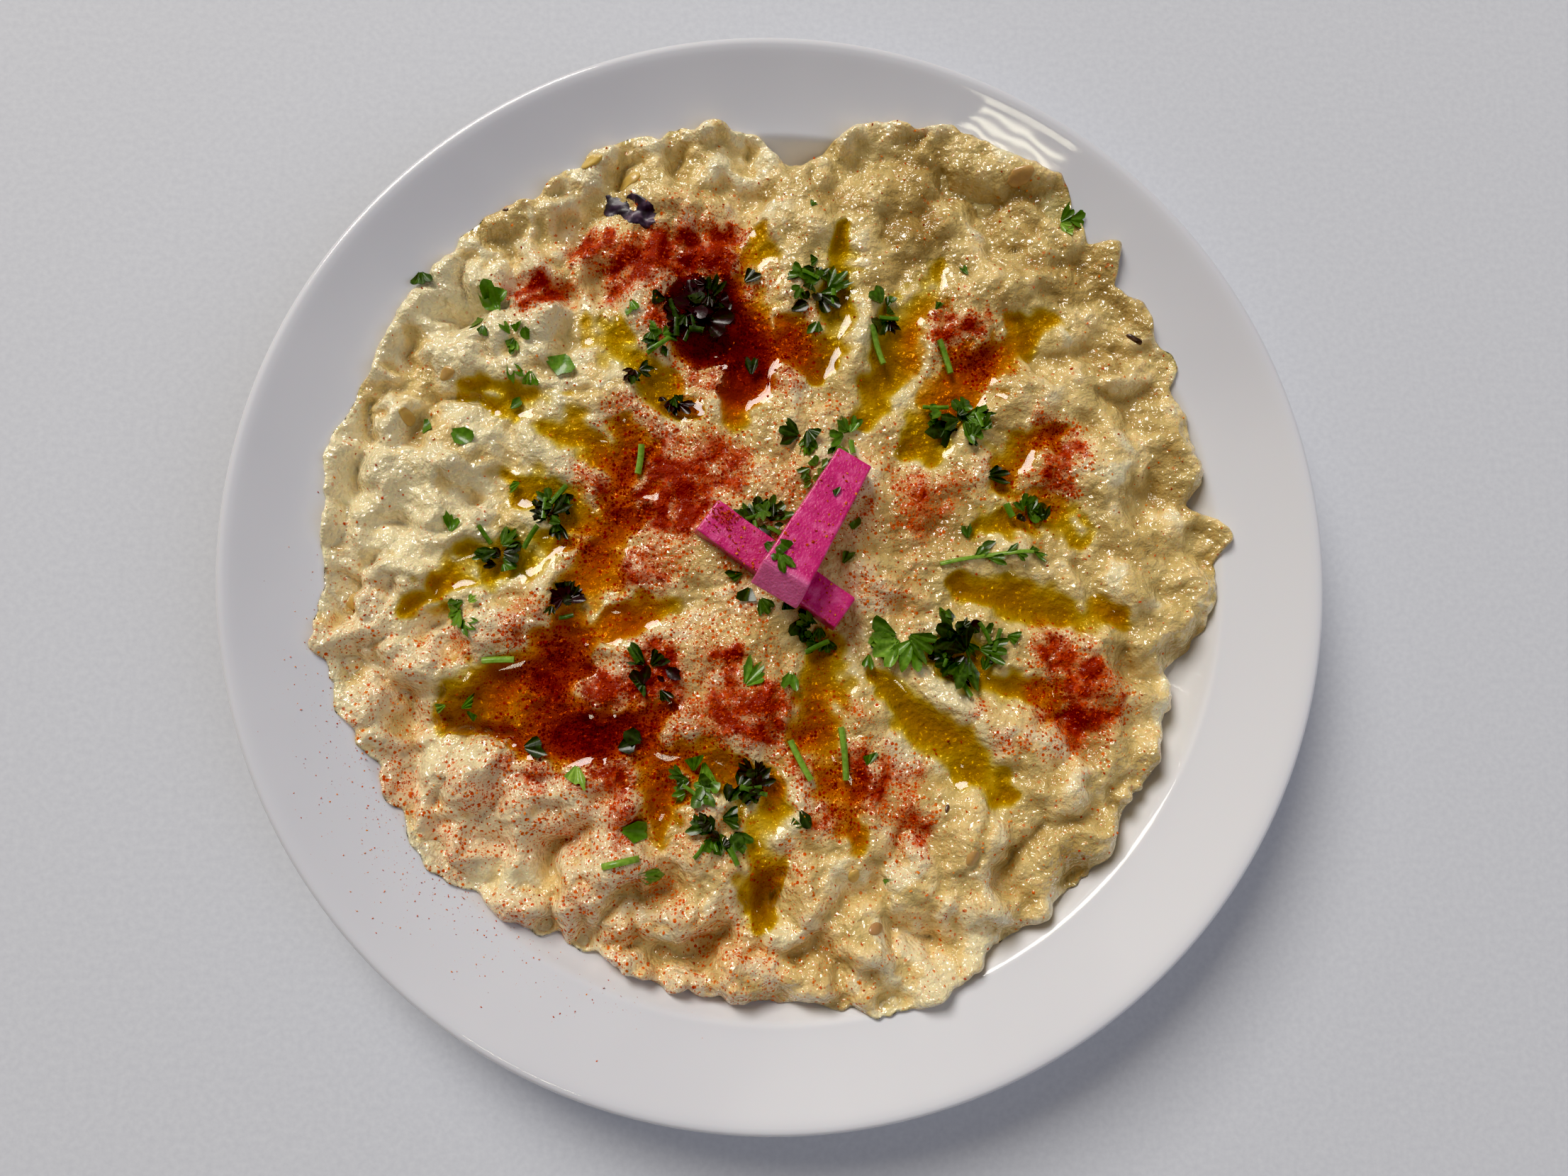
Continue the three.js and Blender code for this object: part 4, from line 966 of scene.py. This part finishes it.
# Skin scorched over a flame: purple black, mottled every 2.4 mm, shiny only on its creases.
char, tree = new_material("charred_aubergine_skin")
place = add_node(tree, "TexCoord").outputs["Object"]
cloud = add_node(tree, "TexNoise", {"Vector": place, "Scale": 420, "Detail": 4})
tint = add_node(tree, "ValToRGB", {"Fac": cloud}, [
    (0.4, "#1e1420"), (0.55, "#37263c"), (0.7, "#6a5266"),
])
relief = add_node(tree, "Bump", {"Height": cloud, "Strength": 0.6, "Distance": 0.0004})
surface = add_node(tree, "BsdfPrincipled", {
    "Base Color": tint, "Roughness": 0.45, "Normal": relief, "Coat Weight": 0.15,
    "Coat Roughness": 0.2,
})
add_node(tree, "OutputMaterial", {"Surface": surface})
skin.data.materials.append(char)
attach(skin, "root")
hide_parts("charred_skin")

# ---- Parsley ----
# Flat-leaf parsley, chopped and scattered. Leaves are thin and toothed, pleated along their
# veins; they are fresh green where they lie dry, and nearly black where the oil soaked them.
BUNCHES = [  # x, y, blades, length, heading, fan, tone (0 soaked to 1 fresh), loose leaves
    (42, -22, 6, 8.5, 0, 300, 0.2, 16), (42, 33, 5, 7.5, 30, 288, 0.35, 9),
    (7, 66, 5, 6.5, 60, 288, 0.3, 8), (-20, 59, 3, 8.0, 20, 300, -0.03, 26),
    (-54, 9, 5, 6, 80, 288, 0.25, 10), (-65, 1, 4, 5, 190, 270, 0.3, 5),
    (-15, -62, 5, 6, 110, 288, 0.3, 7), (-21, -51, 4, 5.5, 200, 270, 0.4, 5),
    (-7, -52, 4, 5, 320, 270, 0.15, 6), (57, 10, 4, 6, 60, 150, 0.3, 4),
    (28, -17, 4, 8, 245, 110, 0.6, 0), (-4.5, 7.5, 5, 6.5, 140, 240, 0.25, 10),
    (8, -17.5, 3, 5, 250, 100, 0.3, 4), (24, 58.5, 4, 4.6, 10, 270, 0.25, 3),
    (14, 28.5, 3, 4.6, 80, 110, 0.6, 2), (5, 30, 2, 5.5, 225, 60, 0.4, 0),
    (-70, 55, 2, 7, 85, 70, 0.65, 1), (-72, -13, 3, 4.6, 200, 150, 0.6, 1),
    (67, 83, 2, 5, 320, 90, 0.7, 0), (-62, 51, 2, 5, 180, 120, 0.55, 1),
    (-30, -28, 3, 6, 180, 180, 0.1, 3), (7, 18.5, 4, 4.6, 100, 160, 0.5, 4),
    (-29, 52, 3, 4.8, 130, 180, 0.4, 3), (-50, -11, 3, 5, 90, 180, 0.05, 4),
    (-36, 44, 2, 4.6, 290, 60, 0.2, 1), (-26, 38, 2, 4.6, 280, 70, 0.15, 2),
]
STALKS = [  # x, y, heading, length
    (36, -1.5, 8, 22), (1, -42, 297, 10), (12.5, -39, 276, 12), (-33.5, 26, 265, 7),
    (-68, -24.3, 3, 7), (20.5, 55, 287, 9), (36.5, 52, 293, 8), (-40, -69, 12, 8),
]
LONGEST_BARE_STALK = 15
LEAF_THICKNESS = 0.2
LEAF_RINGS = 6
CAD_TOP = cad_box[1][2] / MM

laid_on = blurred(grid_oil, 1.2)


def leaf(rng, length, spread, lobes, cut):
    """One chopped leaf, a fan of veins from its stalk: x, y, z and nearness to a vein."""
    across = np.linspace(0, 1, 6 * lobes + 1)
    turn = np.radians(spread) * (across - 0.5)
    off_vein = 2 * np.abs(np.mod(across * lobes, 1) - 0.5)
    reach = length * (0.6 + 0.4 * np.cos(1.1 * turn)) * (1 - 0.34 * off_vein ** 1.3)
    reach = reach * (1 + 0.22 * (rng.random(len(across)) - 0.5))
    knife, knife_turn = length * rng.uniform(0.45, 1.0), rng.uniform(-1.1, 1.1)
    reach = np.minimum(reach, knife / np.maximum(np.cos(turn - knife_turn), 0.25))
    shares = np.linspace(cut, 1, LEAF_RINGS)[:, None]
    x, y = shares * reach * np.cos(turn), shares * reach * np.sin(turn)
    z = 0.11 * length * (off_vein - 0.5) * shares
    z = z + rng.uniform(-0.1, 0.3) * x * x / length + rng.uniform(-0.2, 0.8) * y * y / length
    return x, y, z, np.broadcast_to(1 - off_vein, x.shape)


def solid_sheet(x, y, z, thickness):
    """A closed thin solid from a grid of points: its points and faces."""
    rows, columns = x.shape
    upper = np.stack([x, y, z], -1).reshape(-1, 3)
    points = np.concatenate([upper, upper - [0, 0, thickness]])
    number = np.arange(rows * columns).reshape(rows, columns)
    face = np.stack([number[:-1, :-1], number[1:, :-1], number[1:, 1:], number[:-1, 1:]], -1)
    face = face.reshape(-1, 4)
    rim = np.concatenate([
        number[0], number[1:, -1], number[-1, -2::-1], number[-2:0:-1, 0],
    ])
    after = np.roll(rim, -1)
    wall = np.stack([rim, after, after + len(upper), rim + len(upper)], -1)
    return points, np.concatenate([face, face[:, ::-1] + len(upper), wall])


def stem(x, y, heading, length, width, bend, lift):
    """A piece of stalk laid on the ground: points, faces and nearness to a cut end."""
    steps, sides = max(4, int(length / 1.5)), 8
    t = np.linspace(0, 1, steps + 1)
    turn = np.radians(heading) + bend * (t - 0.5)
    px = x + np.concatenate([[0], np.cumsum(np.cos(turn[1:]))]) * length / steps
    py = y + np.concatenate([[0], np.cumsum(np.sin(turn[1:]))]) * length / steps
    pz = sample(laid_on, px, py) + width / 2 + lift
    ring = 2 * np.pi * np.arange(sides) / sides
    girth = width / 2 * (1 + 0.12 * np.cos(3 * ring))
    tx = px[:, None] - np.sin(turn)[:, None] * np.cos(ring) * girth
    ty = py[:, None] + np.cos(turn)[:, None] * np.cos(ring) * girth
    tz = pz[:, None] + np.sin(ring) * girth
    points = np.stack([tx, ty, tz], -1).reshape(-1, 3)
    number = np.arange((steps + 1) * sides).reshape(steps + 1, sides)
    beside = np.roll(number, -1, 1)
    face = np.stack([number[:-1], beside[:-1], beside[1:], number[1:]], -1).reshape(-1, 4)
    ends = [list(number[0, ::-1]), list(number[-1])]
    at_end = np.where((np.arange(steps + 1) % steps) == 0, 1.0, 0.4)
    return points, face.tolist() + ends, np.repeat(at_end, sides)


class Greens:
    """Gathers leaves and stalks into one mesh, with a tone and a vein share for each point."""

    def __init__(self):
        self.points, self.faces, self.tones, self.veins, self.count = [], [], [], [], 0

    def add(self, points, faces, tone, vein):
        points = np.array(points)
        points[:, 2] = np.minimum(points[:, 2], CAD_TOP - 0.02)
        self.points.append(points)
        self.faces += [[int(k) + self.count for k in face] for face in faces]
        self.tones.append(np.full(len(points), tone))
        self.veins.append(vein)
        self.count += len(points)

    def add_leaf(self, rng, x, y, heading, length, spread, lobes, cut, tone, lift, pitch, roll):
        u, v, w, vein = leaf(rng, length, spread, lobes, cut)
        w = w + pitch * u + roll * v
        px, py = laid(x, y, math.radians(heading), u, v)
        pz = sample(laid_on, px, py) + w + lift
        points, faces = solid_sheet(px, py, pz, LEAF_THICKNESS)
        self.add(points, faces, tone, np.concatenate([vein.ravel()] * 2))

    def build(self, name, replaced):
        body = closed_body(name, self.points, self.faces)
        put_attribute(body, "tone", np.concatenate(self.tones))
        put_attribute(body, "vein", np.concatenate(self.veins))
        bpy.ops.object.shade_smooth_by_angle(angle=math.radians(60))
        body.data.materials.append(leaf_green)
        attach(body, "root")
        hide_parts(replaced)


# Fresh leaf with a waxy skin: mid green, with paler veins and 1 mm mottling. Oil that soaks
# in turns it dark, to almost black.
leaf_green, tree = new_material("chopped_parsley")
place = add_node(tree, "TexCoord").outputs["Object"]
tone, vein = (
    add_node(tree, "Attribute", attribute_name=name).outputs["Fac"] for name in ("tone", "vein")
)
mottle = add_node(tree, "TexNoise", {"Vector": place, "Scale": 900, "Detail": 3})
varied = add_node(tree, "Math", {0: mottle, 1: 0.5, 2: tone}, operation="MULTIPLY_ADD")
varied = add_node(tree, "Math", {0: varied, 1: 0.25}, operation="SUBTRACT")
green = add_node(tree, "ValToRGB", {"Fac": varied}, [
    (0.0, "#2e1018"), (0.12, "#1c190f"), (0.3, "#243810"), (0.48, "#416219"), (0.72, "#5e8c22"),
    (1.0, "#98bc46"),
])
vein_line = add_node(tree, "MapRange", {
    "Value": vein, "From Min": 0.7, "From Max": 1.0, "To Max": 0.45,
})
veined = add_node(tree, "Mix", {"Factor": vein_line, "A": green, "B": "#86a03c"}, data_type="RGBA")
dark_vein = add_node(tree, "Mix", {"Factor": tone, "A": green, "B": veined}, data_type="RGBA")
relief = add_node(tree, "Bump", {"Height": mottle, "Strength": 0.5, "Distance": 0.0003})
surface = add_node(tree, "BsdfPrincipled", {
    "Base Color": dark_vein, "Roughness": 0.33, "Normal": relief, "Coat Weight": 0.38,
    "Coat Roughness": 0.18, "Specular IOR Level": 0.25, "Subsurface Weight": 0.12,
    "Subsurface Radius": (0.5, 1.0, 0.2), "Subsurface Scale": 0.0006,
})
add_node(tree, "OutputMaterial", {"Surface": surface})

for k, (x, y, blades, length, heading, fan, tone_of, loose) in enumerate(BUNCHES):
    rng = np.random.default_rng(300 + k)
    greens = Greens()
    for blade in range(blades + 2):
        turn = heading + fan * (blade / (blades + 1) - 0.5)
        off, way = length * rng.uniform(0, 0.55), math.radians(turn + rng.uniform(-40, 40))
        greens.add_leaf(
            rng, x + off * math.cos(way), y + off * math.sin(way),
            turn + rng.uniform(-80, 80), length * rng.uniform(0.6, 1.1),
            rng.uniform(60, 115), int(rng.integers(2, 4)), 0.12,
            np.clip(tone_of + rng.uniform(-0.15, 0.25), 0, 1),
            0.3 + 0.3 * (blade % 3), rng.uniform(-0.1, 0.3), rng.uniform(-0.35, 0.35),
        )
    for _ in range(loose):
        off, way = length * 0.75 * math.sqrt(rng.random()), rng.uniform(0, 2 * math.pi)
        greens.add_leaf(
            rng, x + off * math.cos(way), y + off * math.sin(way), rng.uniform(0, 360),
            rng.uniform(2.2, 4.6), rng.uniform(60, 120), int(rng.integers(1, 4)), 0.2,
            np.clip(tone_of + rng.uniform(-0.2, 0.3), 0, 1),
            rng.uniform(0.5, 1.6), rng.uniform(-0.2, 0.35), rng.uniform(-0.4, 0.4),
        )
    for _ in range((blades + loose) // 5):
        off, way = length * 0.8 * math.sqrt(rng.random()), rng.uniform(0, 2 * math.pi)
        points, faces, ends = stem(
            x + off * math.cos(way), y + off * math.sin(way), rng.uniform(0, 360),
            rng.uniform(3.2, 6.5), rng.uniform(0.9, 1.5), rng.uniform(-0.4, 0.4), 0.7,
        )
        greens.add(points, faces, np.clip(tone_of + 0.35, 0, 0.8), ends)
    greens.build(f"parsley_leaves_{k + 1:02d}", f"parsley_{k + 1:02d}")

for k, (x, y, heading, length) in enumerate(STALKS):
    rng = np.random.default_rng(400 + k)
    greens = Greens()
    leafy = length > LONGEST_BARE_STALK
    thick = 1.0 if leafy else 1.5
    points, faces, ends = stem(x, y, heading, length, thick, rng.uniform(-0.3, 0.3), 0.05)
    greens.add(points, faces, 0.85, ends)
    if leafy:
        for share, side in ((0.35, 1), (0.5, -1), (0.68, 1), (0.8, -1), (0.93, 1), (1, -1)):
            turn = math.radians(heading)
            greens.add_leaf(
                rng, x + share * length * math.cos(turn), y + share * length * math.sin(turn),
                heading + side * rng.uniform(15, 45), rng.uniform(3, 5), 50, 2, 0.1, 0.5,
                0.7, 0.1, 0.1 * side,
            )
    greens.build(f"parsley_stem_{k + 1}", f"parsley_stalk_{k + 1}")

# ---- Loose bits ----
# Single chopped leaves that stuck to the mash and the turnip.
FLAKES = [  # x, y, heading, length, tone
    (-64, 44.5, 300, 4, 0.6), (-59, 43, 270, 4.5, 0.6), (-56, 45.5, 345, 6, 0.6),
    (-84, 28, 50, 4.5, 0.5), (-77, 28.5, 330, 5.5, 0.5), (-76, 4.5, 80, 4, 0.5),
    (-37, 61, 290, 4.5, 0.6), (1.5, -26, 260, 4, 0.5), (22, -73, 330, 3, 0.5),
    (-33, -71, 345, 4.5, 0.6), (-37, -61.5, 352, 6, 0.5), (36, -11, 290, 4, 0.4),
    (-9.5, -30, 52, 6, 0.6), (51, -18, 340, 3.5, 0.4), (-85.5, 67, 285, 5, 0.3),
    (-64, 34, 40, 3, 0.4), (-61, 17, 200, 3, 0.5), (47, 19.5, 10, 5, 0.1),
    (44, 68.5, 120, 2.5, 0.4), (6, 84, 60, 2, 0.4), (8, 72, 200, 2.5, 0.3),
    (-8, 43, 90, 4, 0.1), (1, 59, 20, 4, 0.05), (8, 57, 250, 4, 0.3), (36, 60, 60, 4, 0.3),
    (-46.5, -47, 265, 5, 0.8), (-38, -44, 20, 4, 0.05), (-32, -42.5, 150, 4, 0.1),
    (-59, -43.5, 5, 5, 0.1), (-18.5, -46, 280, 6, 0.7), (18.5, -48, 80, 4, 0.4),
    (3, -57, 300, 4, 0.1), (1, -61, 30, 3, 0.3), (-13, -56, 70, 4, 0.05), (49.5, 4, 200, 3, 0.3),
    (43, 4.5, 100, 3, 0.3), (19.5, -22, 260, 3.5, 0.5), (-10, 66, 40, 4, 0.05),
    (-28, 61, 180, 4, 0.05), (-73, -35, 30, 4, 0.5), (-76, -34, 200, 3, 0.6),
    (-70, -38, 90, 3, 0.3), (-31.5, -71.5, 0, 3.5, 0.6),
    (-9.5, -4, 200, 4.5, 0.25), (-8, -7, 250, 5, 0.15), (-6, -9.5, 300, 4, 0.3),
    (0, -9.5, 280, 4, 0.2), (2.5, -12, 320, 5, 0.25), (7, -9, 20, 4, 0.45), (4, -14, 250, 5, 0.1),
    (13, -2, 60, 3.5, 0.4), (15.5, 6, 80, 3, 0.45),
]
BATON_FLAKES = [(-5.5, 2.8, 318, 9.5, 0.45), (-2.5, -0.5, 300, 6, 0.55), (10.5, 12, 80, 3, 0.4)]
greens = Greens()
rng = np.random.default_rng(500)
for x, y, heading, length, tone_of in FLAKES:
    greens.add_leaf(
        rng, x, y, heading, 1.25 * length, rng.uniform(45, 85), int(rng.integers(1, 4)), 0.15,
        tone_of + 0.12, 0.22, rng.uniform(0, 0.06), rng.uniform(-0.15, 0.15),
    )
on_baton = np.zeros_like(grid_oil)
for _, middle, heading, tilt, length, widths, thickness, slant in BATONS:
    turn, slope = math.radians(heading), math.tan(math.radians(tilt))
    off_x, off_y = grid_x - middle[0], grid_y - middle[1]
    along = off_x * math.cos(turn) + off_y * math.sin(turn)
    across = off_y * math.cos(turn) - off_x * math.sin(turn)
    width = widths[0] + (widths[1] - widths[0]) * (along / length + 0.5)
    under = (along > (slant - length) / 2) & (along < length / 2 - 0.5)
    under = under & (np.abs(across) < width / 2)
    on_baton = np.maximum(on_baton, under * (middle[2] + thickness + along * slope))
laid_on = blurred(np.maximum(grid_oil, on_baton), 0.4)
for x, y, heading, length, tone_of in BATON_FLAKES:
    greens.add_leaf(rng, x, y, heading, length, 60, 2, 0.15, tone_of, 0.25, 0.03, 0.05)
greens.build("parsley_flakes", "mash")

# ---- Seeds and scraps ----
# Aubergine seeds, a few browned crumbs of flesh and shreds of skin left in the mash. They
# are cooked soft and lie half sunk in it.
SCRAPS = [  # x, y, heading, length, width, thickness, tone (0 burnt, 0.5 tan, 1 yellow)
    (15.5, -72, 80, 3.6, 2.6, 1.3, 0.74), (41.5, -67.5, 60, 4.0, 2.7, 1.3, 0.6),
    (20.5, -83.5, 10, 3.6, 2.4, 1.0, 0.5), (85, 54, -35, 4.6, 1.3, 0.9, 0.05),
    (-46, 94.5, 12, 5.2, 2.8, 1.6, 0.92), (-37, 91, 30, 6.0, 3.4, 1.4, 0.8),
    (-78, 42, 20, 4.0, 2.6, 1.2, 0.68), (-87, 32, 95, 3.2, 2.4, 1.2, 0.72),
    (57, 93, 20, 6.0, 3.6, 1.4, 0.6), (36.5, -57, 70, 2.0, 0.9, 0.6, 0.08),
    (-99, -10, 80, 4.2, 2.8, 1.4, 0.74), (-66, 82, 0, 1.6, 0.9, 0.7, 0.1),
]
SUNK = 0.45  # share of a scrap's thickness that lies in the mash

bpy.ops.object.select_all(action="DESELECT")
bpy.ops.mesh.primitive_uv_sphere_add(segments=24, ring_count=12, radius=0.5)
scrap = bpy.context.object
unit = read_points(scrap) * MM
unit = unit * (1 - 0.22 * unit[:, :1])
scrap_faces = [list(face.vertices) for face in scrap.data.polygons]
bpy.data.objects.remove(scrap)
points, faces, tones = [], [], []
for k, (x, y, heading, length, width, thickness, tone_of) in enumerate(SCRAPS):
    along, across, up = (unit * [length, width, thickness]).T
    along = along * (1 + 0.2 * ripple(along + 9 * k, across, 2.2, 31))
    across = across * (1 + 0.25 * ripple(along, across + 9 * k, 1.8, 32))
    px, py = laid(x, y, math.radians(heading), along, across)
    faces += [[index + k * len(unit) for index in face] for face in scrap_faces]
    pz = sample(laid_on, px, py) + up + (0.5 - SUNK) * thickness
    points.append(np.stack([px, py, pz], -1))
    tones.append(np.full(len(unit), tone_of))
scraps = closed_body("seeds_and_scraps", points, faces)
put_attribute(scraps, "tone", np.concatenate(tones))
bpy.ops.object.shade_smooth()
# Cooked seed coat and browned flesh: moist and slightly glossy, tan to burnt brown, mottled
# every 1.4 mm.
seed_coat, tree = new_material("seed_coat_and_browned_flesh")
place = add_node(tree, "TexCoord").outputs["Object"]
tone = add_node(tree, "Attribute", attribute_name="tone").outputs["Fac"]
mottle = add_node(tree, "TexNoise", {"Vector": place, "Scale": 700, "Detail": 3})
varied = add_node(tree, "Math", {0: mottle, 1: 0.3, 2: tone}, operation="MULTIPLY_ADD")
tint = add_node(tree, "ValToRGB", {"Fac": varied}, [
    (0.15, "#2e1a12"), (0.35, "#7a5234"), (0.6, "#b98a5a"), (0.8, "#cfa35c"), (1.0, "#dfbd5e"),
])
relief = add_node(tree, "Bump", {"Height": mottle, "Strength": 0.4, "Distance": 0.0004})
surface = add_node(tree, "BsdfPrincipled", {
    "Base Color": tint, "Roughness": 0.35, "Normal": relief, "Coat Weight": 0.6,
    "Coat Roughness": 0.1, "Subsurface Weight": 0.3, "Subsurface Radius": (1.0, 0.5, 0.2),
    "Subsurface Scale": 0.0008,
})
add_node(tree, "OutputMaterial", {"Surface": surface})
scraps.data.materials.append(seed_coat)
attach(scraps, "root")
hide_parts("mash")

# ---- Paprika ----
# Ground sweet paprika, shaken from above. The grains are thin red flakes that lie on the
# mash, hang in the oil and are sprinkled over the plate's near left rim.
GRAIN_TRIES = 84000
GRAIN_SIZES = (0.25, 1.1)
RIM_GRAINS = 760
RIM_SIDE, RIM_SPREAD = 217, 15  # degrees
PINCH_GRAINS = 160
PINCH_SPREAD = 1.9
TOP_GAP = 0.6  # left free under the highest point

rng = np.random.default_rng(7)
off, way = 110 * np.sqrt(rng.random(GRAIN_TRIES)), 2 * np.pi * rng.random(GRAIN_TRIES)
grain_x, grain_y = off * np.cos(way), off * np.sin(way)
on_mash = off < outline_radius(np.degrees(way)) - 1
share = paprika_share(grain_x, grain_y)
sunk = sample(grid_oil - grid_mash, grain_x, grain_y) > 0.2
kept = on_mash & (rng.random(GRAIN_TRIES) < share ** 0.8 * (1 - 0.75 * sunk))
grain_x, grain_y = grain_x[kept], grain_y[kept]
rim_way = np.radians(rng.normal(RIM_SIDE, RIM_SPREAD, RIM_GRAINS))
rim_off = 101 + np.abs(rng.normal(0, 8, RIM_GRAINS))
clear_rim = (rim_off > outline_radius(np.degrees(rim_way)) + 0.5) & (rim_off < 121)
baton_x, baton_y = (rng.normal(middle, PINCH_SPREAD, PINCH_GRAINS) for middle in BATON_PINCH)
grain_x = np.concatenate([grain_x, baton_x, (rim_off * np.cos(rim_way))[clear_rim]])
grain_y = np.concatenate([grain_y, baton_y, (rim_off * np.sin(rim_way))[clear_rim]])
count = len(grain_x)
on_rim = np.arange(count) >= kept.sum() + len(baton_x)
grain_z = sample(grid_mash, grain_x, grain_y)
grain_z = grain_z + sample(grid_oil - grid_mash, grain_x, grain_y) * rng.random(count)
grain_z = np.maximum(grain_z, sample(on_baton, grain_x, grain_y) + 0.05)
grain_z = np.minimum(grain_z, CAD_TOP - TOP_GAP)
low, high = GRAIN_SIZES
grain_size = low + (high - low) * rng.random(count) ** 2.6
grain_size = np.where(on_rim, 0.6 * grain_size, grain_size)
axes = rng.normal(size=(count, 3, 3))
axes[:, 0] /= np.linalg.norm(axes[:, 0], axis=1)[:, None]
axes[:, 1] = np.cross(axes[:, 0], axes[:, 1])
axes[:, 1] /= np.linalg.norm(axes[:, 1], axis=1)[:, None]
axes[:, 2] = np.cross(axes[:, 0], axes[:, 1])
half = grain_size[:, None] * np.stack([
    np.full(count, 0.5), rng.uniform(0.3, 0.5, count), rng.uniform(0.15, 0.3, count),
], -1)
arms = axes * half[:, :, None]
middle = np.stack([grain_x, grain_y, grain_z], -1)[:, None]
points = np.concatenate([middle + arms, middle - arms], 1)
octahedron = np.array([
    [0, 1, 2], [1, 3, 2], [3, 4, 2], [4, 0, 2], [1, 0, 5], [3, 1, 5], [4, 3, 5], [0, 4, 5],
])
faces = (octahedron[None] + 6 * np.arange(count)[:, None, None]).reshape(-1, 3)
grains = closed_body("paprika_grains", points, faces.tolist())
heap = np.clip(1.2 * paprika_share(grain_x, grain_y) - 0.35, 0, 0.6)
in_pinch = (np.arange(count) >= kept.sum()) & ~on_rim
heap = np.where(in_pinch, 0.85, heap)
put_attribute(grains, "tone", np.repeat(rng.random(count) * (1 - heap), 6))
# Dried pepper, ground: dull grains, each of one tone, brick red in a heap and orange alone.
spice, tree = new_material("ground_paprika")
tone = add_node(tree, "Attribute", attribute_name="tone").outputs["Fac"]
tint = add_node(tree, "ValToRGB", {"Fac": tone}, [
    (0.0, "#a82804"), (0.25, "#d04c06"), (0.6, "#e4680e"), (1.0, "#f09430"),
])
surface = add_node(tree, "BsdfPrincipled", {
    "Base Color": tint, "Roughness": 0.6, "Specular IOR Level": 0.2,
})
add_node(tree, "OutputMaterial", {"Surface": surface})
grains.data.materials.append(spice)
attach(grains, "root")
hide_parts("mash")
